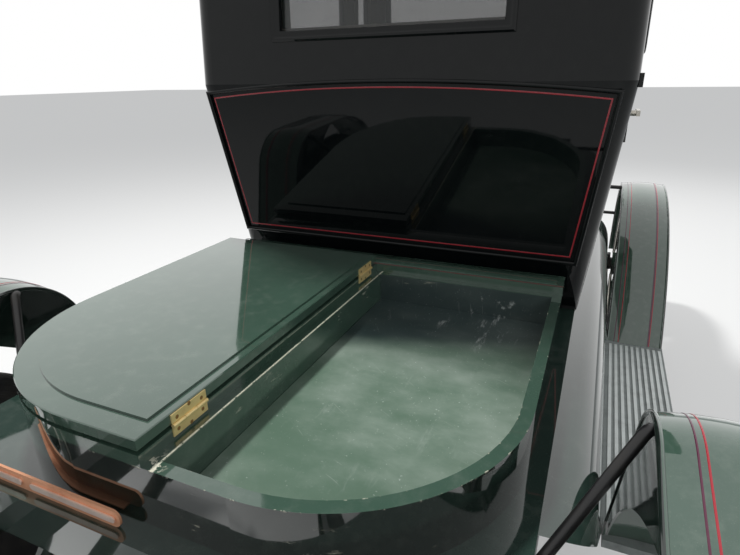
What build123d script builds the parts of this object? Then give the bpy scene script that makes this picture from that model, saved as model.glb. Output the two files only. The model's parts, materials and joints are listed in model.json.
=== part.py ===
"""Antique electric brougham: a tall closed cab between a short front hood and a round tailed rear deck.

Millimetres. X points forward, Y to the car's left, Z up. The origin is on the ground, on the centre
line, halfway between the two axles. The rear deck's lid is a right hand half, drawn here as it stands:
folded open about the seam on the centre line, upside down on the fixed left half.
"""
from build123d import *
import os
from collections import namedtuple
from math import asin, cos, degrees, radians, sin, sqrt

os.makedirs("parts", exist_ok=True)

# Overall sizes
wheelbase = 2540
half_track = 711
tyre_radius = 381
tyre_width = 89
rim_radius = 292
rim_half_width = 30
felloe_depth = 34
spoke_count = 12
running_fit = 0.05

front_axle_x = wheelbase / 2
rear_axle_x = -wheelbase / 2
axle_z = tyre_radius

# Rear deck
deck_top_z = 855
deck_half_width = 490
deck_tail_x = rear_axle_x - 19
deck_front_x = -353
deck_corner_radius = 344
deck_wall = 22
deck_top_thickness = 20
seam_ledge = 18
strip_length = 80
tray_z = 760
tray_thickness = 6
tray_batten_pitch = 420
tray_batten_width = 40
tray_batten_length = 326
lid_thickness = 18
lid_edge_gap = 5
lid_open_gap = 8
lid_field_height = 4
lid_field_inset = 40
lid_field_seam_inset = 17
hinge_length = 76
hinge_leaf = 2
hinge_barrel_radius = 3.5
hinge_pin_radius = 1.6
deck_hinge_x = (deck_tail_x + 104, deck_front_x - 162)

# Pan below the deck, aprons and running boards
pan_top_z = 730
pan_half_width = 521
pan_tail_x = deck_tail_x - 41
pan_front_x = -262
pan_thickness = 4
pan_skirt = 95
pan_corner_radius = 70
board_top_z = 342
board_width = 195
board_inner_y = half_track - 61
board_outer_y = board_inner_y + board_width
board_rear_x = rear_axle_x + 648
board_front_x = front_axle_x - 877
board_thickness = 22
board_rib_height = 3
board_rib_count = 10
board_rear_ledge = 34
board_front_ledge = 45
apron_thickness = 4

# Fenders: a crowned sheet carried along a side profile round each wheel
fender_width = 200
fender_inner_y = half_track - 66
fender_outer_y = fender_inner_y + fender_width
fender_thickness = 4
fender_crown = 10
rear_fender_radius = 473
rear_fender_top_angle = 101.8
rear_fender_tail_angle = 186
rear_fender_foot_x = rear_axle_x + 645
rear_fender_slope = 62.6
rear_shoulder_radius = 184
front_fender_radius = 437
front_tail_radius = 1050
front_fender_nose_angle = -6
valance_foot_z = 408
valance_tail_angle = 104
valance_arch_x = rear_axle_x - 333
valance_arch_z = axle_z - 461
valance_arch_radius = 1016
valance_thickness = 4

# Splash aprons: the convex sheet from the pan and the cab's sill out to the running board
apron_shoulder_y = 600
apron_shoulder_z = 708
apron_fillet = 70
apron_rear_top_x = -1092
apron_step_z = 400
apron_outset = 6

# Cab
sill_z = 575
belt_z = 1325
eaves_z = 1990
roof_top_z = 2150
cab_front_x = 930
cab_half_belt = 590
cab_half_step = 527
cab_half_eaves = 584
cab_step_z = 731
cab_wall = 32
floor_z = sill_z + cab_wall
cab_back_low_x = -318
cab_back_low_z = 872
cab_back_belt_x = -388
cab_back_eaves_x = -348
cab_screen_foot_x = 930
cab_screen_top_x = 890
cab_toe_x = 760
cab_toe_z = 720
cab_corner_radius = 60
sweep_mid_x = -232
sweep_mid_z = 700
sweep_front_x = -10
back_field_recess = 6
back_field_margin = 40
back_field_arch = 28
back_field_edge = 14
window_low_z = 1385
window_high_z = 1890
back_window_low_z = 1435
back_window_high_z = 1800
back_window_half = 317
screen_low_z = 1370
screen_half = 500
quarter_rear_x = -290
quarter_front_x = -20
front_quarter_rear_x = 700
front_quarter_front_x = 840
glass_thickness = 5
window_corner_radius = 24
belt_height = 30
belt_proud = 8
roof_overhang = 26
roof_corner_radius = 150
roof_edge_z = 2060
roof_rim_radius = 45
door_rear_x = 40
door_front_x = 650
door_gap = 7
door_bottom_z = 745
door_top_z = 1960
door_window_margin = 70
hinge_axis_y = cab_half_belt + 14
door_hinge_z = (1130, 1480, 1830)
door_hinge_barrel = 8
door_hinge_pin = 4
door_hinge_height = 90

# Front hood
hood_front_x = 1500
hood_half_rear = 430
hood_half_front = 390
hood_corner_radius = 190
hood_top_z = 930
hood_bottom_z = 660
hood_wall = 20
hood_lid_thickness = 14
hood_lid_overhang = 6
hood_seat_gap = 1
hood_hinge_x = 955
hood_hinge_rise = 2
hood_barrel_radius = 5
hood_pin_radius = 2
hood_leaf_thickness = 2
hood_knuckle = 100
lid_clearance = 7

# Lamps, braces and fittings
lamp_front_x = 1332
lamp_y = 525
lamp_z = 1010
lamp_radius = 92
lens_radius = 84
lens_depth = 8
lens_thickness = 5
lamp_arm_back = 72
lamp_arm_width = 40
lamp_stem_radius = 11
tail_lamp_y = 400
tail_lamp_radius = 26
tail_lamp_length = 52
brace_radius = 9
plate_bar_x = pan_tail_x + 18
plate_bar_inner_y = 36
plate_bar_outer_y = 434
plate_bar_height = 30
plate_bar_thickness = 4
plate_bar_round = 14
plate_bar_foot = 14
plate_rib_width = 11
plate_rib_proud = 3
plate_hole_radius = 4.5
plate_hole_y = 380
plate_hole_pitch = 60

# Seat and tiller
seat_front_x = 20
seat_height_z = 880
cushion_top_z = 1005
cushion_half = 470
cushion_depth = 300
cushion_round = 22
seat_depth = 400
back_foot_x = -175
back_head_x = -235
seat_back_top_z = 1500
tiller_x = 330
tiller_y = 300
tiller_z = 1082
tiller_reach = 290
tiller_pin_radius = 10
tiller_hub_radius = 26
tiller_hub_height = 40
tiller_bar_radius = 11
tiller_grip = 110
tiller_grip_radius = 17
tiller_cap = 10
column_radius = 18
column_flange = 12
column_flange_radius = 48

# Chassis
rail_y = 360
rail_width = 50
rail_height = 80
rail_mid_z = axle_z + 49
rail_end_z = axle_z + 149
king_pin_y = half_track - 111
king_pin_radius = 12
axle_eye_height = 76
axle_eye_radius = 26
knuckle_ear = 16
spindle_radius = 20
steering_arm = 150
leaf_thickness = 8
leaf_count = 5
spring_half_length = 350
frame_overhang = 442
spring_camber = 96

Flank = namedtuple("Flank", "name sign")
SIDES = (Flank("left", 1), Flank("right", -1))
Corner = namedtuple("Corner", "name x sign")
CORNERS = (
    Corner("front_left", front_axle_x, 1),
    Corner("front_right", front_axle_x, -1),
    Corner("rear_left", rear_axle_x, 1),
    Corner("rear_right", rear_axle_x, -1),
)


def save(piece, name):
    """Label a finished piece and write it under its node's name."""
    piece.label = name
    export_step(piece, f"parts/{name}.step")


def radial_plane(corner):
    """Plane through a wheel's axis: local x points outboard, local y up."""
    centre = (corner.x, corner.sign * half_track, axle_z)
    return Plane(origin=centre, x_dir=(0, corner.sign, 0), z_dir=(corner.sign, 0, 0))


def wheel_plane(corner):
    """Plane of a wheel's disc: local z points outboard."""
    centre = (corner.x, corner.sign * half_track, axle_z)
    return Plane(origin=centre, x_dir=(-corner.sign, 0, 0), z_dir=(0, corner.sign, 0))


def axle_line(corner):
    """Axis a wheel turns about."""
    return Axis((corner.x, corner.sign * half_track, axle_z), (0, 1, 0))


# Tyres: an arched tread over bulging walls, on a flat seat
tread_half = 27
for corner in CORNERS:
    with BuildPart() as tyre:
        with BuildSketch(radial_plane(corner)):
            with BuildLine():
                bulge_r = (tyre_radius + rim_radius) / 2
                shoulder_r = tyre_radius - 8
                Line((-rim_half_width, rim_radius), (rim_half_width, rim_radius))
                for end in (-1, 1):
                    seat = (end * rim_half_width, rim_radius)
                    ThreePointArc(seat, (end * tyre_width / 2, bulge_r), (end * tread_half, shoulder_r))
                ThreePointArc((tread_half, shoulder_r), (0, tyre_radius), (-tread_half, shoulder_r))
            make_face()
        revolve(axis=axle_line(corner))
    save(tyre.part, f"tyre_{corner.name}")

# Wooden spoked wheels: felloe ring, tapered spokes and a flanged hub with its cap
hub_inner = 56
hub_flange_radius = 92
hub_barrel_radius = 68
hub_cap_end = 104
hub_bore_end = 64
spindle_end = hub_bore_end - 4
for corner in CORNERS:
    with BuildPart() as wheel:
        with BuildSketch(radial_plane(corner)):
            with Locations((0, rim_radius - felloe_depth / 2)):
                Rectangle(2 * rim_half_width, felloe_depth)
            with BuildLine():
                bore = spindle_radius + running_fit
                Polyline(
                    (-hub_inner, bore),
                    (-hub_inner, 60),
                    (-40, 60),
                    (-40, hub_flange_radius),
                    (-26, hub_flange_radius),
                    (-26, hub_barrel_radius),
                    (26, hub_barrel_radius),
                    (26, hub_flange_radius),
                    (40, hub_flange_radius),
                    (40, 60),
                    (62, 52),
                    (94, 46),
                    (hub_cap_end, 34),
                    (hub_cap_end, 0),
                    (hub_bore_end, 0),
                    (hub_bore_end, bore),
                    close=True,
                )
            make_face()
        revolve(axis=axle_line(corner))
    with BuildPart(wheel_plane(corner)) as spokes:
        spoke_inner = hub_barrel_radius - 6
        spoke_outer = rim_radius - felloe_depth + 4
        with PolarLocations((spoke_inner + spoke_outer) / 2, spoke_count, start_angle=15):
            Cone(20, 14, spoke_outer - spoke_inner, rotation=(0, 90, 0))
    with BuildPart() as whole:
        add(wheel.part)
        add(spokes.part)
    save(whole.part, f"wheel_{corner.name}")

# Front axle: a dropped beam of I section between two upright eyes
beam_height = 50
beam_half_depth = 22
beam_drop = 46
pad_top_z = axle_z - beam_drop + beam_height / 2
with BuildPart() as front_axle:
    with BuildSketch(Plane.YZ.offset(front_axle_x)):
        with BuildLine():
            FilletPolyline(
                (-king_pin_y, axle_z),
                (-rail_y - 120, axle_z),
                (-rail_y - 60, axle_z - beam_drop),
                (rail_y + 60, axle_z - beam_drop),
                (rail_y + 120, axle_z),
                (king_pin_y, axle_z),
                radius=40,
            )
        trace(line_width=beam_height)
    extrude(amount=beam_half_depth, both=True)
    web_recess = 12
    for face_x in (front_axle_x - beam_half_depth, front_axle_x + beam_half_depth):
        with Locations((face_x, 0, axle_z - beam_drop)):
            Box(2 * web_recess, 2 * rail_y - 90, beam_height - 22, mode=Mode.SUBTRACT)
    for side in SIDES:
        with Locations((front_axle_x, side.sign * king_pin_y, axle_z)):
            Cylinder(axle_eye_radius, axle_eye_height)
        with Locations((front_axle_x, side.sign * king_pin_y, axle_z)):
            Cylinder(king_pin_radius + running_fit, 2 * axle_eye_height, mode=Mode.SUBTRACT)
save(front_axle.part, "front_axle")

# Steering knuckles: a yoke over the axle's eye, its king pin, the wheel spindle and a steering arm
ear_gap = 0.5
ear_z = axle_eye_height / 2 + ear_gap + knuckle_ear / 2
yoke_plate_y = king_pin_y + axle_eye_radius + 4
yoke_plate = 16
yoke_depth = 44
collar_end_y = half_track - hub_inner - 0.5
arm_z = axle_z - ear_z
tie_pin_radius = 8
for side in SIDES:
    with BuildPart() as knuckle:
        for level in (-ear_z, ear_z):
            with Locations((front_axle_x, side.sign * king_pin_y, axle_z + level)):
                Cylinder(axle_eye_radius, knuckle_ear)
            ear_length = yoke_plate_y + yoke_plate - king_pin_y
            with Locations((front_axle_x, side.sign * (king_pin_y + ear_length / 2), axle_z + level)):
                Box(yoke_depth, ear_length, knuckle_ear)
        with Locations((front_axle_x, side.sign * king_pin_y, axle_z)):
            Cylinder(king_pin_radius, 2 * ear_z + knuckle_ear)
        with Locations((front_axle_x, side.sign * (yoke_plate_y + yoke_plate / 2), axle_z)):
            Box(yoke_depth, yoke_plate, 2 * ear_z + knuckle_ear)
        collar_length = collar_end_y - yoke_plate_y - yoke_plate / 2
        with Locations((front_axle_x, side.sign * (collar_end_y - collar_length / 2), axle_z)):
            Cylinder(32, collar_length, rotation=(90, 0, 0))
        spindle_length = half_track + spindle_end - yoke_plate_y
        with Locations((front_axle_x, side.sign * (yoke_plate_y + spindle_length / 2), axle_z)):
            Cylinder(spindle_radius, spindle_length, rotation=(90, 0, 0))
        with BuildSketch(Plane.XY.offset(arm_z - knuckle_ear / 2)):
            with BuildLine():
                Line(
                    (front_axle_x - steering_arm, side.sign * king_pin_y),
                    (front_axle_x, side.sign * (king_pin_y + 8)),
                )
            trace(line_width=26)
            with Locations((front_axle_x - steering_arm, side.sign * king_pin_y)):
                Circle(18)
        extrude(amount=knuckle_ear)
        with Locations((front_axle_x - steering_arm, side.sign * king_pin_y, arm_z)):
            Cylinder(tie_pin_radius + running_fit, 60, mode=Mode.SUBTRACT)
    save(knuckle.part, f"steering_knuckle_{side.name}")

# Tie rod between the two steering arms, its pins dropped into their eyes
tie_rod_radius = 11
tie_rod_z = arm_z - knuckle_ear / 2 - 6 - tie_rod_radius
with BuildPart() as tie_rod:
    with Locations((front_axle_x - steering_arm, 0, tie_rod_z)):
        Cylinder(tie_rod_radius, 2 * king_pin_y, rotation=(90, 0, 0))
    for side in SIDES:
        with Locations((front_axle_x - steering_arm, side.sign * king_pin_y, tie_rod_z)):
            Cylinder(16, 2 * tie_rod_radius + 6)
        pin_top = arm_z + knuckle_ear / 2 + 4
        with Locations((front_axle_x - steering_arm, side.sign * king_pin_y, (tie_rod_z + pin_top) / 2)):
            Cylinder(tie_pin_radius, pin_top - tie_rod_z)
save(tie_rod.part, "tie_rod")

# Rear axle: tube housing, differential case, brake drums and the two shaft ends
housing_radius = 38
drum_radius = 150
drum_width = 52
drum_y = half_track - hub_inner - 12 - drum_width / 2
pinion_end_x = rear_axle_x + 150
with BuildPart() as rear_axle:
    with BuildSketch(Plane.YZ.offset(rear_axle_x)):
        with BuildLine():
            Polyline(
                (-half_track - spindle_end, axle_z),
                (-half_track - spindle_end, axle_z + spindle_radius),
                (-drum_y - drum_width / 2 - 11, axle_z + spindle_radius),
                (-drum_y - drum_width / 2, axle_z + 60),
                (-drum_y - drum_width / 2, axle_z + drum_radius),
                (-drum_y + drum_width / 2, axle_z + drum_radius),
                (-drum_y + drum_width / 2, axle_z + housing_radius),
                (-150, axle_z + housing_radius),
                (-90, axle_z + 112),
                (-50, axle_z + 130),
                (50, axle_z + 130),
                (90, axle_z + 112),
                (150, axle_z + housing_radius),
                (drum_y - drum_width / 2, axle_z + housing_radius),
                (drum_y - drum_width / 2, axle_z + drum_radius),
                (drum_y + drum_width / 2, axle_z + drum_radius),
                (drum_y + drum_width / 2, axle_z + 60),
                (drum_y + drum_width / 2 + 11, axle_z + spindle_radius),
                (half_track + spindle_end, axle_z + spindle_radius),
                (half_track + spindle_end, axle_z),
                close=True,
            )
        make_face()
    revolve(axis=Axis((rear_axle_x, 0, axle_z), (0, 1, 0)))
    with Locations(((rear_axle_x + pinion_end_x) / 2, 0, axle_z)):
        Cylinder(44, pinion_end_x - rear_axle_x, rotation=(0, 90, 0))
save(rear_axle.part, "rear_axle")

# Leaf springs: five arched leaves each, longest on top, clamped at the axle
spring_radius = (spring_half_length ** 2 + spring_camber ** 2) / (2 * spring_camber)
leaf_stack = leaf_count * leaf_thickness
Spring = namedtuple("Spring", "x seat_z")
SPRINGS = (
    Spring(front_axle_x, pad_top_z),
    Spring(rear_axle_x, axle_z - housing_radius - 6 - leaf_stack),
)
with BuildPart() as leaves:
    for spring in SPRINGS:
        centre_z = spring.seat_z + leaf_stack + spring_radius
        with BuildSketch(Plane.XZ.offset(-rail_y - 22)):
            for leaf in range(leaf_count):
                top_r = spring_radius + leaf * leaf_thickness
                low_r = top_r + leaf_thickness
                half = spring_half_length * (1 - 0.17 * leaf)
                top_z = centre_z - sqrt(top_r ** 2 - half ** 2)
                low_z = centre_z - sqrt(low_r ** 2 - half ** 2)
                rear_x = spring.x - half
                front_x = spring.x + half
                with BuildLine():
                    ThreePointArc((rear_x, top_z), (spring.x, centre_z - top_r), (front_x, top_z))
                    Line((front_x, top_z), (front_x, low_z))
                    ThreePointArc((front_x, low_z), (spring.x, centre_z - low_r), (rear_x, low_z))
                    Line((rear_x, low_z), (rear_x, top_z))
                make_face()
        extrude(amount=44)
        with Locations((spring.x, rail_y, spring.seat_z + (leaf_stack + 12) / 2)):
            Box(60, 60, leaf_stack + 12)
    mirror(about=Plane.XZ)
    add(rear_axle.part, mode=Mode.SUBTRACT)
save(leaves.part, "leaf_springs")

# Chassis frame: two side rails that rise over the axles, cross members, spring hangers and body blocks
rail_top_mid = rail_mid_z + rail_height
rail_top_end = rail_end_z + rail_height
frame_rear_x = rear_axle_x - frame_overhang
frame_front_x = front_axle_x + rear_fender_radius
rise_rear_x = -770
rise_front_x = 780
rise_length = 120
hanger_half = 9
block_length = 70
Block = namedtuple("Block", "x low_z high_z")
BLOCKS = (
    Block(-1180, rail_top_end, pan_top_z - pan_thickness),
    Block(-930, rail_top_end, pan_top_z - pan_thickness),
    Block(150, rail_top_mid, sill_z),
    Block(560, rail_top_mid, sill_z),
    Block(1060, rail_top_end, hood_bottom_z),
    Block(1380, rail_top_end, hood_bottom_z),
)
with BuildPart() as frame:
    with BuildSketch(Plane.XZ.offset(-rail_y - rail_width / 2)):
        with BuildLine():
            FilletPolyline(
                (frame_rear_x, rail_end_z + rail_height / 2),
                (rise_rear_x - rise_length, rail_end_z + rail_height / 2),
                (rise_rear_x, rail_mid_z + rail_height / 2),
                (rise_front_x, rail_mid_z + rail_height / 2),
                (rise_front_x + rise_length, rail_end_z + rail_height / 2),
                (frame_front_x, rail_end_z + rail_height / 2),
                radius=110,
            )
        trace(line_width=rail_height)
    extrude(amount=rail_width)
    for spring in SPRINGS:
        eye_z = spring.seat_z + leaf_stack + spring_camber - leaf_thickness / 2
        for end in (-1, 1):
            hanger_x = spring.x + end * (spring_half_length + hanger_half)
            with Locations((hanger_x, rail_y, (eye_z - 14 + rail_end_z + 10) / 2)):
                Box(2 * hanger_half, rail_width, rail_end_z + 10 - eye_z + 14)
    mirror(about=Plane.XZ)
    for cross_x, cross_z in (
        (frame_rear_x + 40, rail_end_z),
        (-700, rail_mid_z),
        (0, rail_mid_z),
        (700, rail_mid_z),
        (frame_front_x - 40, rail_end_z),
    ):
        with Locations((cross_x, 0, cross_z + 30)):
            Box(50, 2 * rail_y, 50)
    for block in BLOCKS:
        for side in SIDES:
            with Locations((block.x, side.sign * rail_y, (block.low_z + block.high_z) / 2)):
                Box(block_length, rail_width, block.high_z - block.low_z)
save(frame.part, "chassis_frame")

# Electric motor, one heavy block slung from the rails, and its shaft to the rear axle
motor_radius = 132
motor_rear_x = -520
motor_front_x = -90
motor_z = axle_z + 17
with BuildPart() as motor:
    with BuildSketch(Plane.YZ.offset(motor_rear_x)):
        with Locations((0, motor_z)):
            Circle(motor_radius)
    extrude(amount=motor_front_x - motor_rear_x)
    chamfer(motor.edges().filter_by(GeomType.CIRCLE), 24)
    with Locations(((motor_rear_x + motor_front_x) / 2, 0, rail_mid_z + 22)):
        Box(120, 2 * rail_y - rail_width, 40)
    with BuildSketch(Plane.YZ.offset(pinion_end_x)):
        with Locations((0, axle_z)):
            Circle(26)
    extrude(amount=motor_rear_x - pinion_end_x)
save(motor.part, "drive_motor")

# Running boards: a tread plate with raised ribs along it, and their brackets off the rails
board_length = board_front_x - board_rear_x
board_mid_x = (board_front_x + board_rear_x) / 2
board_mid_y = (board_inner_y + board_outer_y) / 2
rib_pitch = (board_outer_y - board_inner_y - 24) / (board_rib_count - 1)
base_top_z = board_top_z - board_rib_height
with BuildPart() as boards:
    for side in SIDES:
        base_mid_x = board_mid_x + (board_front_ledge - board_rear_ledge) / 2
        base_length = board_length + board_front_ledge + board_rear_ledge
        with Locations((base_mid_x, side.sign * board_mid_y, base_top_z - board_thickness / 2)):
            Box(base_length, board_outer_y - board_inner_y, board_thickness)
        with Locations((board_mid_x, side.sign * board_mid_y, base_top_z + board_rib_height / 2)):
            with GridLocations(0, rib_pitch, 1, board_rib_count):
                Box(board_length - 50, rib_pitch * 0.5, board_rib_height)
save(boards.part, "running_boards")
bracket_depth = 20
bracket_start_y = rail_y + rail_width / 2
board_base_z = base_top_z - board_thickness


def tail_outline(half_width, tail_x, front_x, radius):
    """Closed outline with a square front and a rounded tail, for the line builder it is called in."""
    Line((front_x, -half_width), (tail_x + radius, -half_width))
    CenterArc((tail_x + radius, -half_width + radius), radius, 270, -90)
    Line((tail_x, -half_width + radius), (tail_x, half_width - radius))
    CenterArc((tail_x + radius, half_width - radius), radius, 180, -90)
    Line((tail_x + radius, half_width), (front_x, half_width))
    Line((front_x, half_width), (front_x, -half_width))


# Rear pan: the wide sheet under the deck, its rim turned down all round the tail
with BuildPart() as pan:
    with BuildSketch(Plane.XY.offset(pan_top_z - pan_skirt)):
        with BuildLine():
            tail_outline(pan_half_width, pan_tail_x, pan_front_x, pan_corner_radius)
        make_face()
    extrude(amount=pan_skirt)
    with BuildSketch(Plane.XY.offset(pan_top_z - pan_skirt)):
        with BuildLine():
            tail_outline(
                pan_half_width - pan_thickness,
                pan_tail_x + pan_thickness,
                pan_front_x + 1,
                pan_corner_radius - pan_thickness,
            )
        make_face()
    extrude(amount=pan_skirt - pan_thickness, mode=Mode.SUBTRACT)
save(pan.part, "rear_pan")

# Deck box: the round tailed wall, a front wall, and the seam wall that carries the fixed half's edge
box_top_z = deck_top_z - deck_top_thickness
strip_rear_x = deck_front_x - strip_length
with BuildPart() as deck_box:
    with BuildSketch(Plane.XY.offset(pan_top_z)):
        with BuildLine():
            tail_outline(deck_half_width, deck_tail_x, deck_front_x, deck_corner_radius)
        make_face()
    extrude(amount=box_top_z - pan_top_z)
    with BuildSketch(Plane.XY.offset(pan_top_z)):
        with BuildLine():
            tail_outline(
                deck_half_width - deck_wall,
                deck_tail_x + deck_wall,
                strip_rear_x - seam_ledge,
                deck_corner_radius - deck_wall,
            )
        make_face()
    extrude(amount=box_top_z - pan_top_z, mode=Mode.SUBTRACT)
    seam_mid_x = (deck_tail_x + strip_rear_x) / 2
    with Locations((seam_mid_x, 2 - seam_ledge / 2, (pan_top_z + box_top_z) / 2)):
        Box(strip_rear_x - deck_tail_x - deck_wall, seam_ledge + 4, box_top_z - pan_top_z)
    with BuildSketch(Plane.XY.offset(pan_top_z)):
        with Locations(((strip_rear_x + deck_front_x) / 2, 0)):
            Rectangle(strip_length - 2 * deck_wall, 2 * (deck_half_width - deck_wall))
    extrude(amount=box_top_z - pan_top_z - deck_wall, mode=Mode.SUBTRACT)
save(deck_box.part, "rear_deck_box")

# Fixed top: the left half and the strip along the cab, in one panel
with BuildPart() as deck_top:
    with BuildSketch(Plane.XY.offset(box_top_z)):
        with BuildLine():
            tail_outline(deck_half_width, deck_tail_x, deck_front_x, deck_corner_radius)
        make_face()
        with Locations((strip_rear_x - 2 * deck_half_width, -deck_half_width)):
            Rectangle(4 * deck_half_width, 2 * deck_half_width, mode=Mode.SUBTRACT)
    extrude(amount=deck_top_thickness)
save(deck_top.part, "rear_deck_top")

# Tray: the flat floor of the open compartment
tray_gap = 1
with BuildPart() as tray:
    with BuildSketch(Plane.XY.offset(tray_z - tray_thickness)):
        with BuildLine():
            tail_outline(
                deck_half_width - deck_wall - tray_gap,
                deck_tail_x + deck_wall + tray_gap,
                strip_rear_x - seam_ledge - tray_gap,
                deck_corner_radius - deck_wall - tray_gap,
            )
        make_face()
        with Locations((deck_tail_x, deck_half_width - seam_ledge - tray_gap)):
            Rectangle(4 * deck_half_width, 2 * deck_half_width, mode=Mode.SUBTRACT)
    extrude(amount=tray_thickness)
    tray_low_z = tray_z - tray_thickness
    with Locations((seam_mid_x, -deck_half_width / 2, (pan_top_z + tray_low_z) / 2)):
        with GridLocations(tray_batten_pitch, 0, 2, 1):
            Box(tray_batten_width, tray_batten_length, tray_low_z - pan_top_z)
save(tray.part, "deck_tray")

# Lid: the right half, turned over about the hinge line and resting open on the left
hinge_y = -lid_edge_gap / 2
hinge_z = deck_top_z + lid_open_gap / 2
lid_front_x = strip_rear_x - 4
lid_low_z = deck_top_z + lid_open_gap
with BuildPart() as lid:
    with BuildSketch(Plane.XY.offset(lid_low_z)):
        with BuildLine():
            tail_outline(deck_half_width, deck_tail_x, lid_front_x, deck_corner_radius)
        make_face()
        with Locations((deck_tail_x, -deck_half_width)):
            Rectangle(4 * deck_half_width, 2 * deck_half_width, mode=Mode.SUBTRACT)
    extrude(amount=lid_thickness)
    chamfer(lid.faces().sort_by(Axis.Z)[-1].edges(), 1.5)
    with BuildSketch(Plane.XY.offset(lid_low_z + lid_thickness)):
        with BuildLine():
            tail_outline(
                deck_half_width - lid_field_inset,
                deck_tail_x + lid_field_inset,
                lid_front_x - lid_field_inset,
                deck_corner_radius - lid_field_inset,
            )
        make_face()
        with Locations((deck_tail_x, lid_field_seam_inset - deck_half_width)):
            Rectangle(4 * deck_half_width, 2 * deck_half_width, mode=Mode.SUBTRACT)
    extrude(amount=lid_field_height)
save(lid.part, "deck_lid")

# Brass butt hinges on the seam: leaves on the panels' edges, three barrel knuckles and a pin
leaf_height = deck_top_thickness - 2
knuckle_length = hinge_length / 3
knuckle_gap = 0.5
knuckle_clear = 2 * hinge_barrel_radius + 2 * knuckle_gap
with BuildPart() as fixed_leaves:
    for hinge_x in deck_hinge_x:
        with Locations((hinge_x, -hinge_leaf / 2, hinge_z - leaf_height / 2 - 1)):
            Box(hinge_length, hinge_leaf, leaf_height)
        for end in (-1, 1):
            with Locations((hinge_x + end * knuckle_length, hinge_y, hinge_z)):
                Cylinder(hinge_barrel_radius, knuckle_length, rotation=(0, 90, 0))
        with Locations((hinge_x, hinge_y, hinge_z)):
            Box(knuckle_length + 2 * knuckle_gap, knuckle_clear, knuckle_clear, mode=Mode.SUBTRACT)
            Cylinder(hinge_pin_radius, hinge_length, rotation=(0, 90, 0))
save(fixed_leaves.part, "deck_hinge_fixed")
with BuildPart() as lid_leaves:
    for hinge_x in deck_hinge_x:
        with Locations((hinge_x, -hinge_leaf / 2, hinge_z + leaf_height / 2 + 1)):
            Box(hinge_length, hinge_leaf, leaf_height)
        for end in (-1, 1):
            with Locations((hinge_x + end * knuckle_length, hinge_y, hinge_z)):
                Box(knuckle_length + 2 * knuckle_gap, knuckle_clear, knuckle_clear, mode=Mode.SUBTRACT)
        with Locations((hinge_x, hinge_y, hinge_z)):
            Cylinder(hinge_barrel_radius, knuckle_length - knuckle_gap, rotation=(0, 90, 0))
            Cylinder(hinge_pin_radius + running_fit, hinge_length, rotation=(0, 90, 0), mode=Mode.SUBTRACT)
save(lid_leaves.part, "deck_hinge_moving")

# Fenders: side profile, then a crowned strip with beaded edges swept along it
fender_mid_y = (fender_inner_y + fender_outer_y) / 2
bead_radius = 5
half_section = (fender_outer_y - fender_inner_y) / 2 - bead_radius
bead_drop = fender_crown + 1
crown_fall = radians(90 - rear_fender_top_angle)
foot_slope = radians(rear_fender_slope)
crown_end_x = rear_axle_x + rear_fender_radius * sin(crown_fall)
crown_end_z = axle_z + rear_fender_radius * cos(crown_fall)
turn_x = rear_shoulder_radius * (sin(foot_slope) - sin(crown_fall))
turn_z = rear_shoulder_radius * (cos(crown_fall) - cos(foot_slope))
reach_x = rear_fender_foot_x - crown_end_x - turn_x
reach_z = crown_end_z - board_top_z - turn_z
top_run = (reach_x * sin(foot_slope) - reach_z * cos(foot_slope)) / sin(foot_slope - crown_fall)
shoulder_x = crown_end_x + top_run * cos(crown_fall) - rear_shoulder_radius * sin(crown_fall)
shoulder_z = crown_end_z - top_run * sin(crown_fall) - rear_shoulder_radius * cos(crown_fall)


def rear_fender_profile(inset, tail_angle, foot_z):
    """Rear fender's side profile from tail to foot, moved in towards the wheel by inset."""
    top_angle = rear_fender_top_angle
    crown_turn = top_angle - tail_angle
    shoulder_turn = 90 - rear_fender_slope - top_angle
    crown = CenterArc((rear_axle_x, axle_z), rear_fender_radius - inset, tail_angle, crown_turn)
    shoulder = CenterArc((shoulder_x, shoulder_z), rear_shoulder_radius - inset, top_angle, shoulder_turn)
    foot_drop = (shoulder @ 1).Y - foot_z
    foot_point = ((shoulder @ 1).X + foot_drop / sin(foot_slope) * cos(foot_slope), foot_z)
    Line(crown @ 1, shoulder @ 0)
    Line(shoulder @ 1, foot_point)
    return crown @ 0, foot_point


def fender_strip_outline():
    """Crowned sheet seen along the fender, its crest at the local origin."""
    low = -fender_crown - fender_thickness
    ThreePointArc((-half_section, -fender_crown), (0, 0), (half_section, -fender_crown))
    Line((half_section, -fender_crown), (half_section, low))
    ThreePointArc((half_section, low), (0, -fender_thickness), (-half_section, low))
    Line((-half_section, low), (-half_section, -fender_crown))


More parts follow.
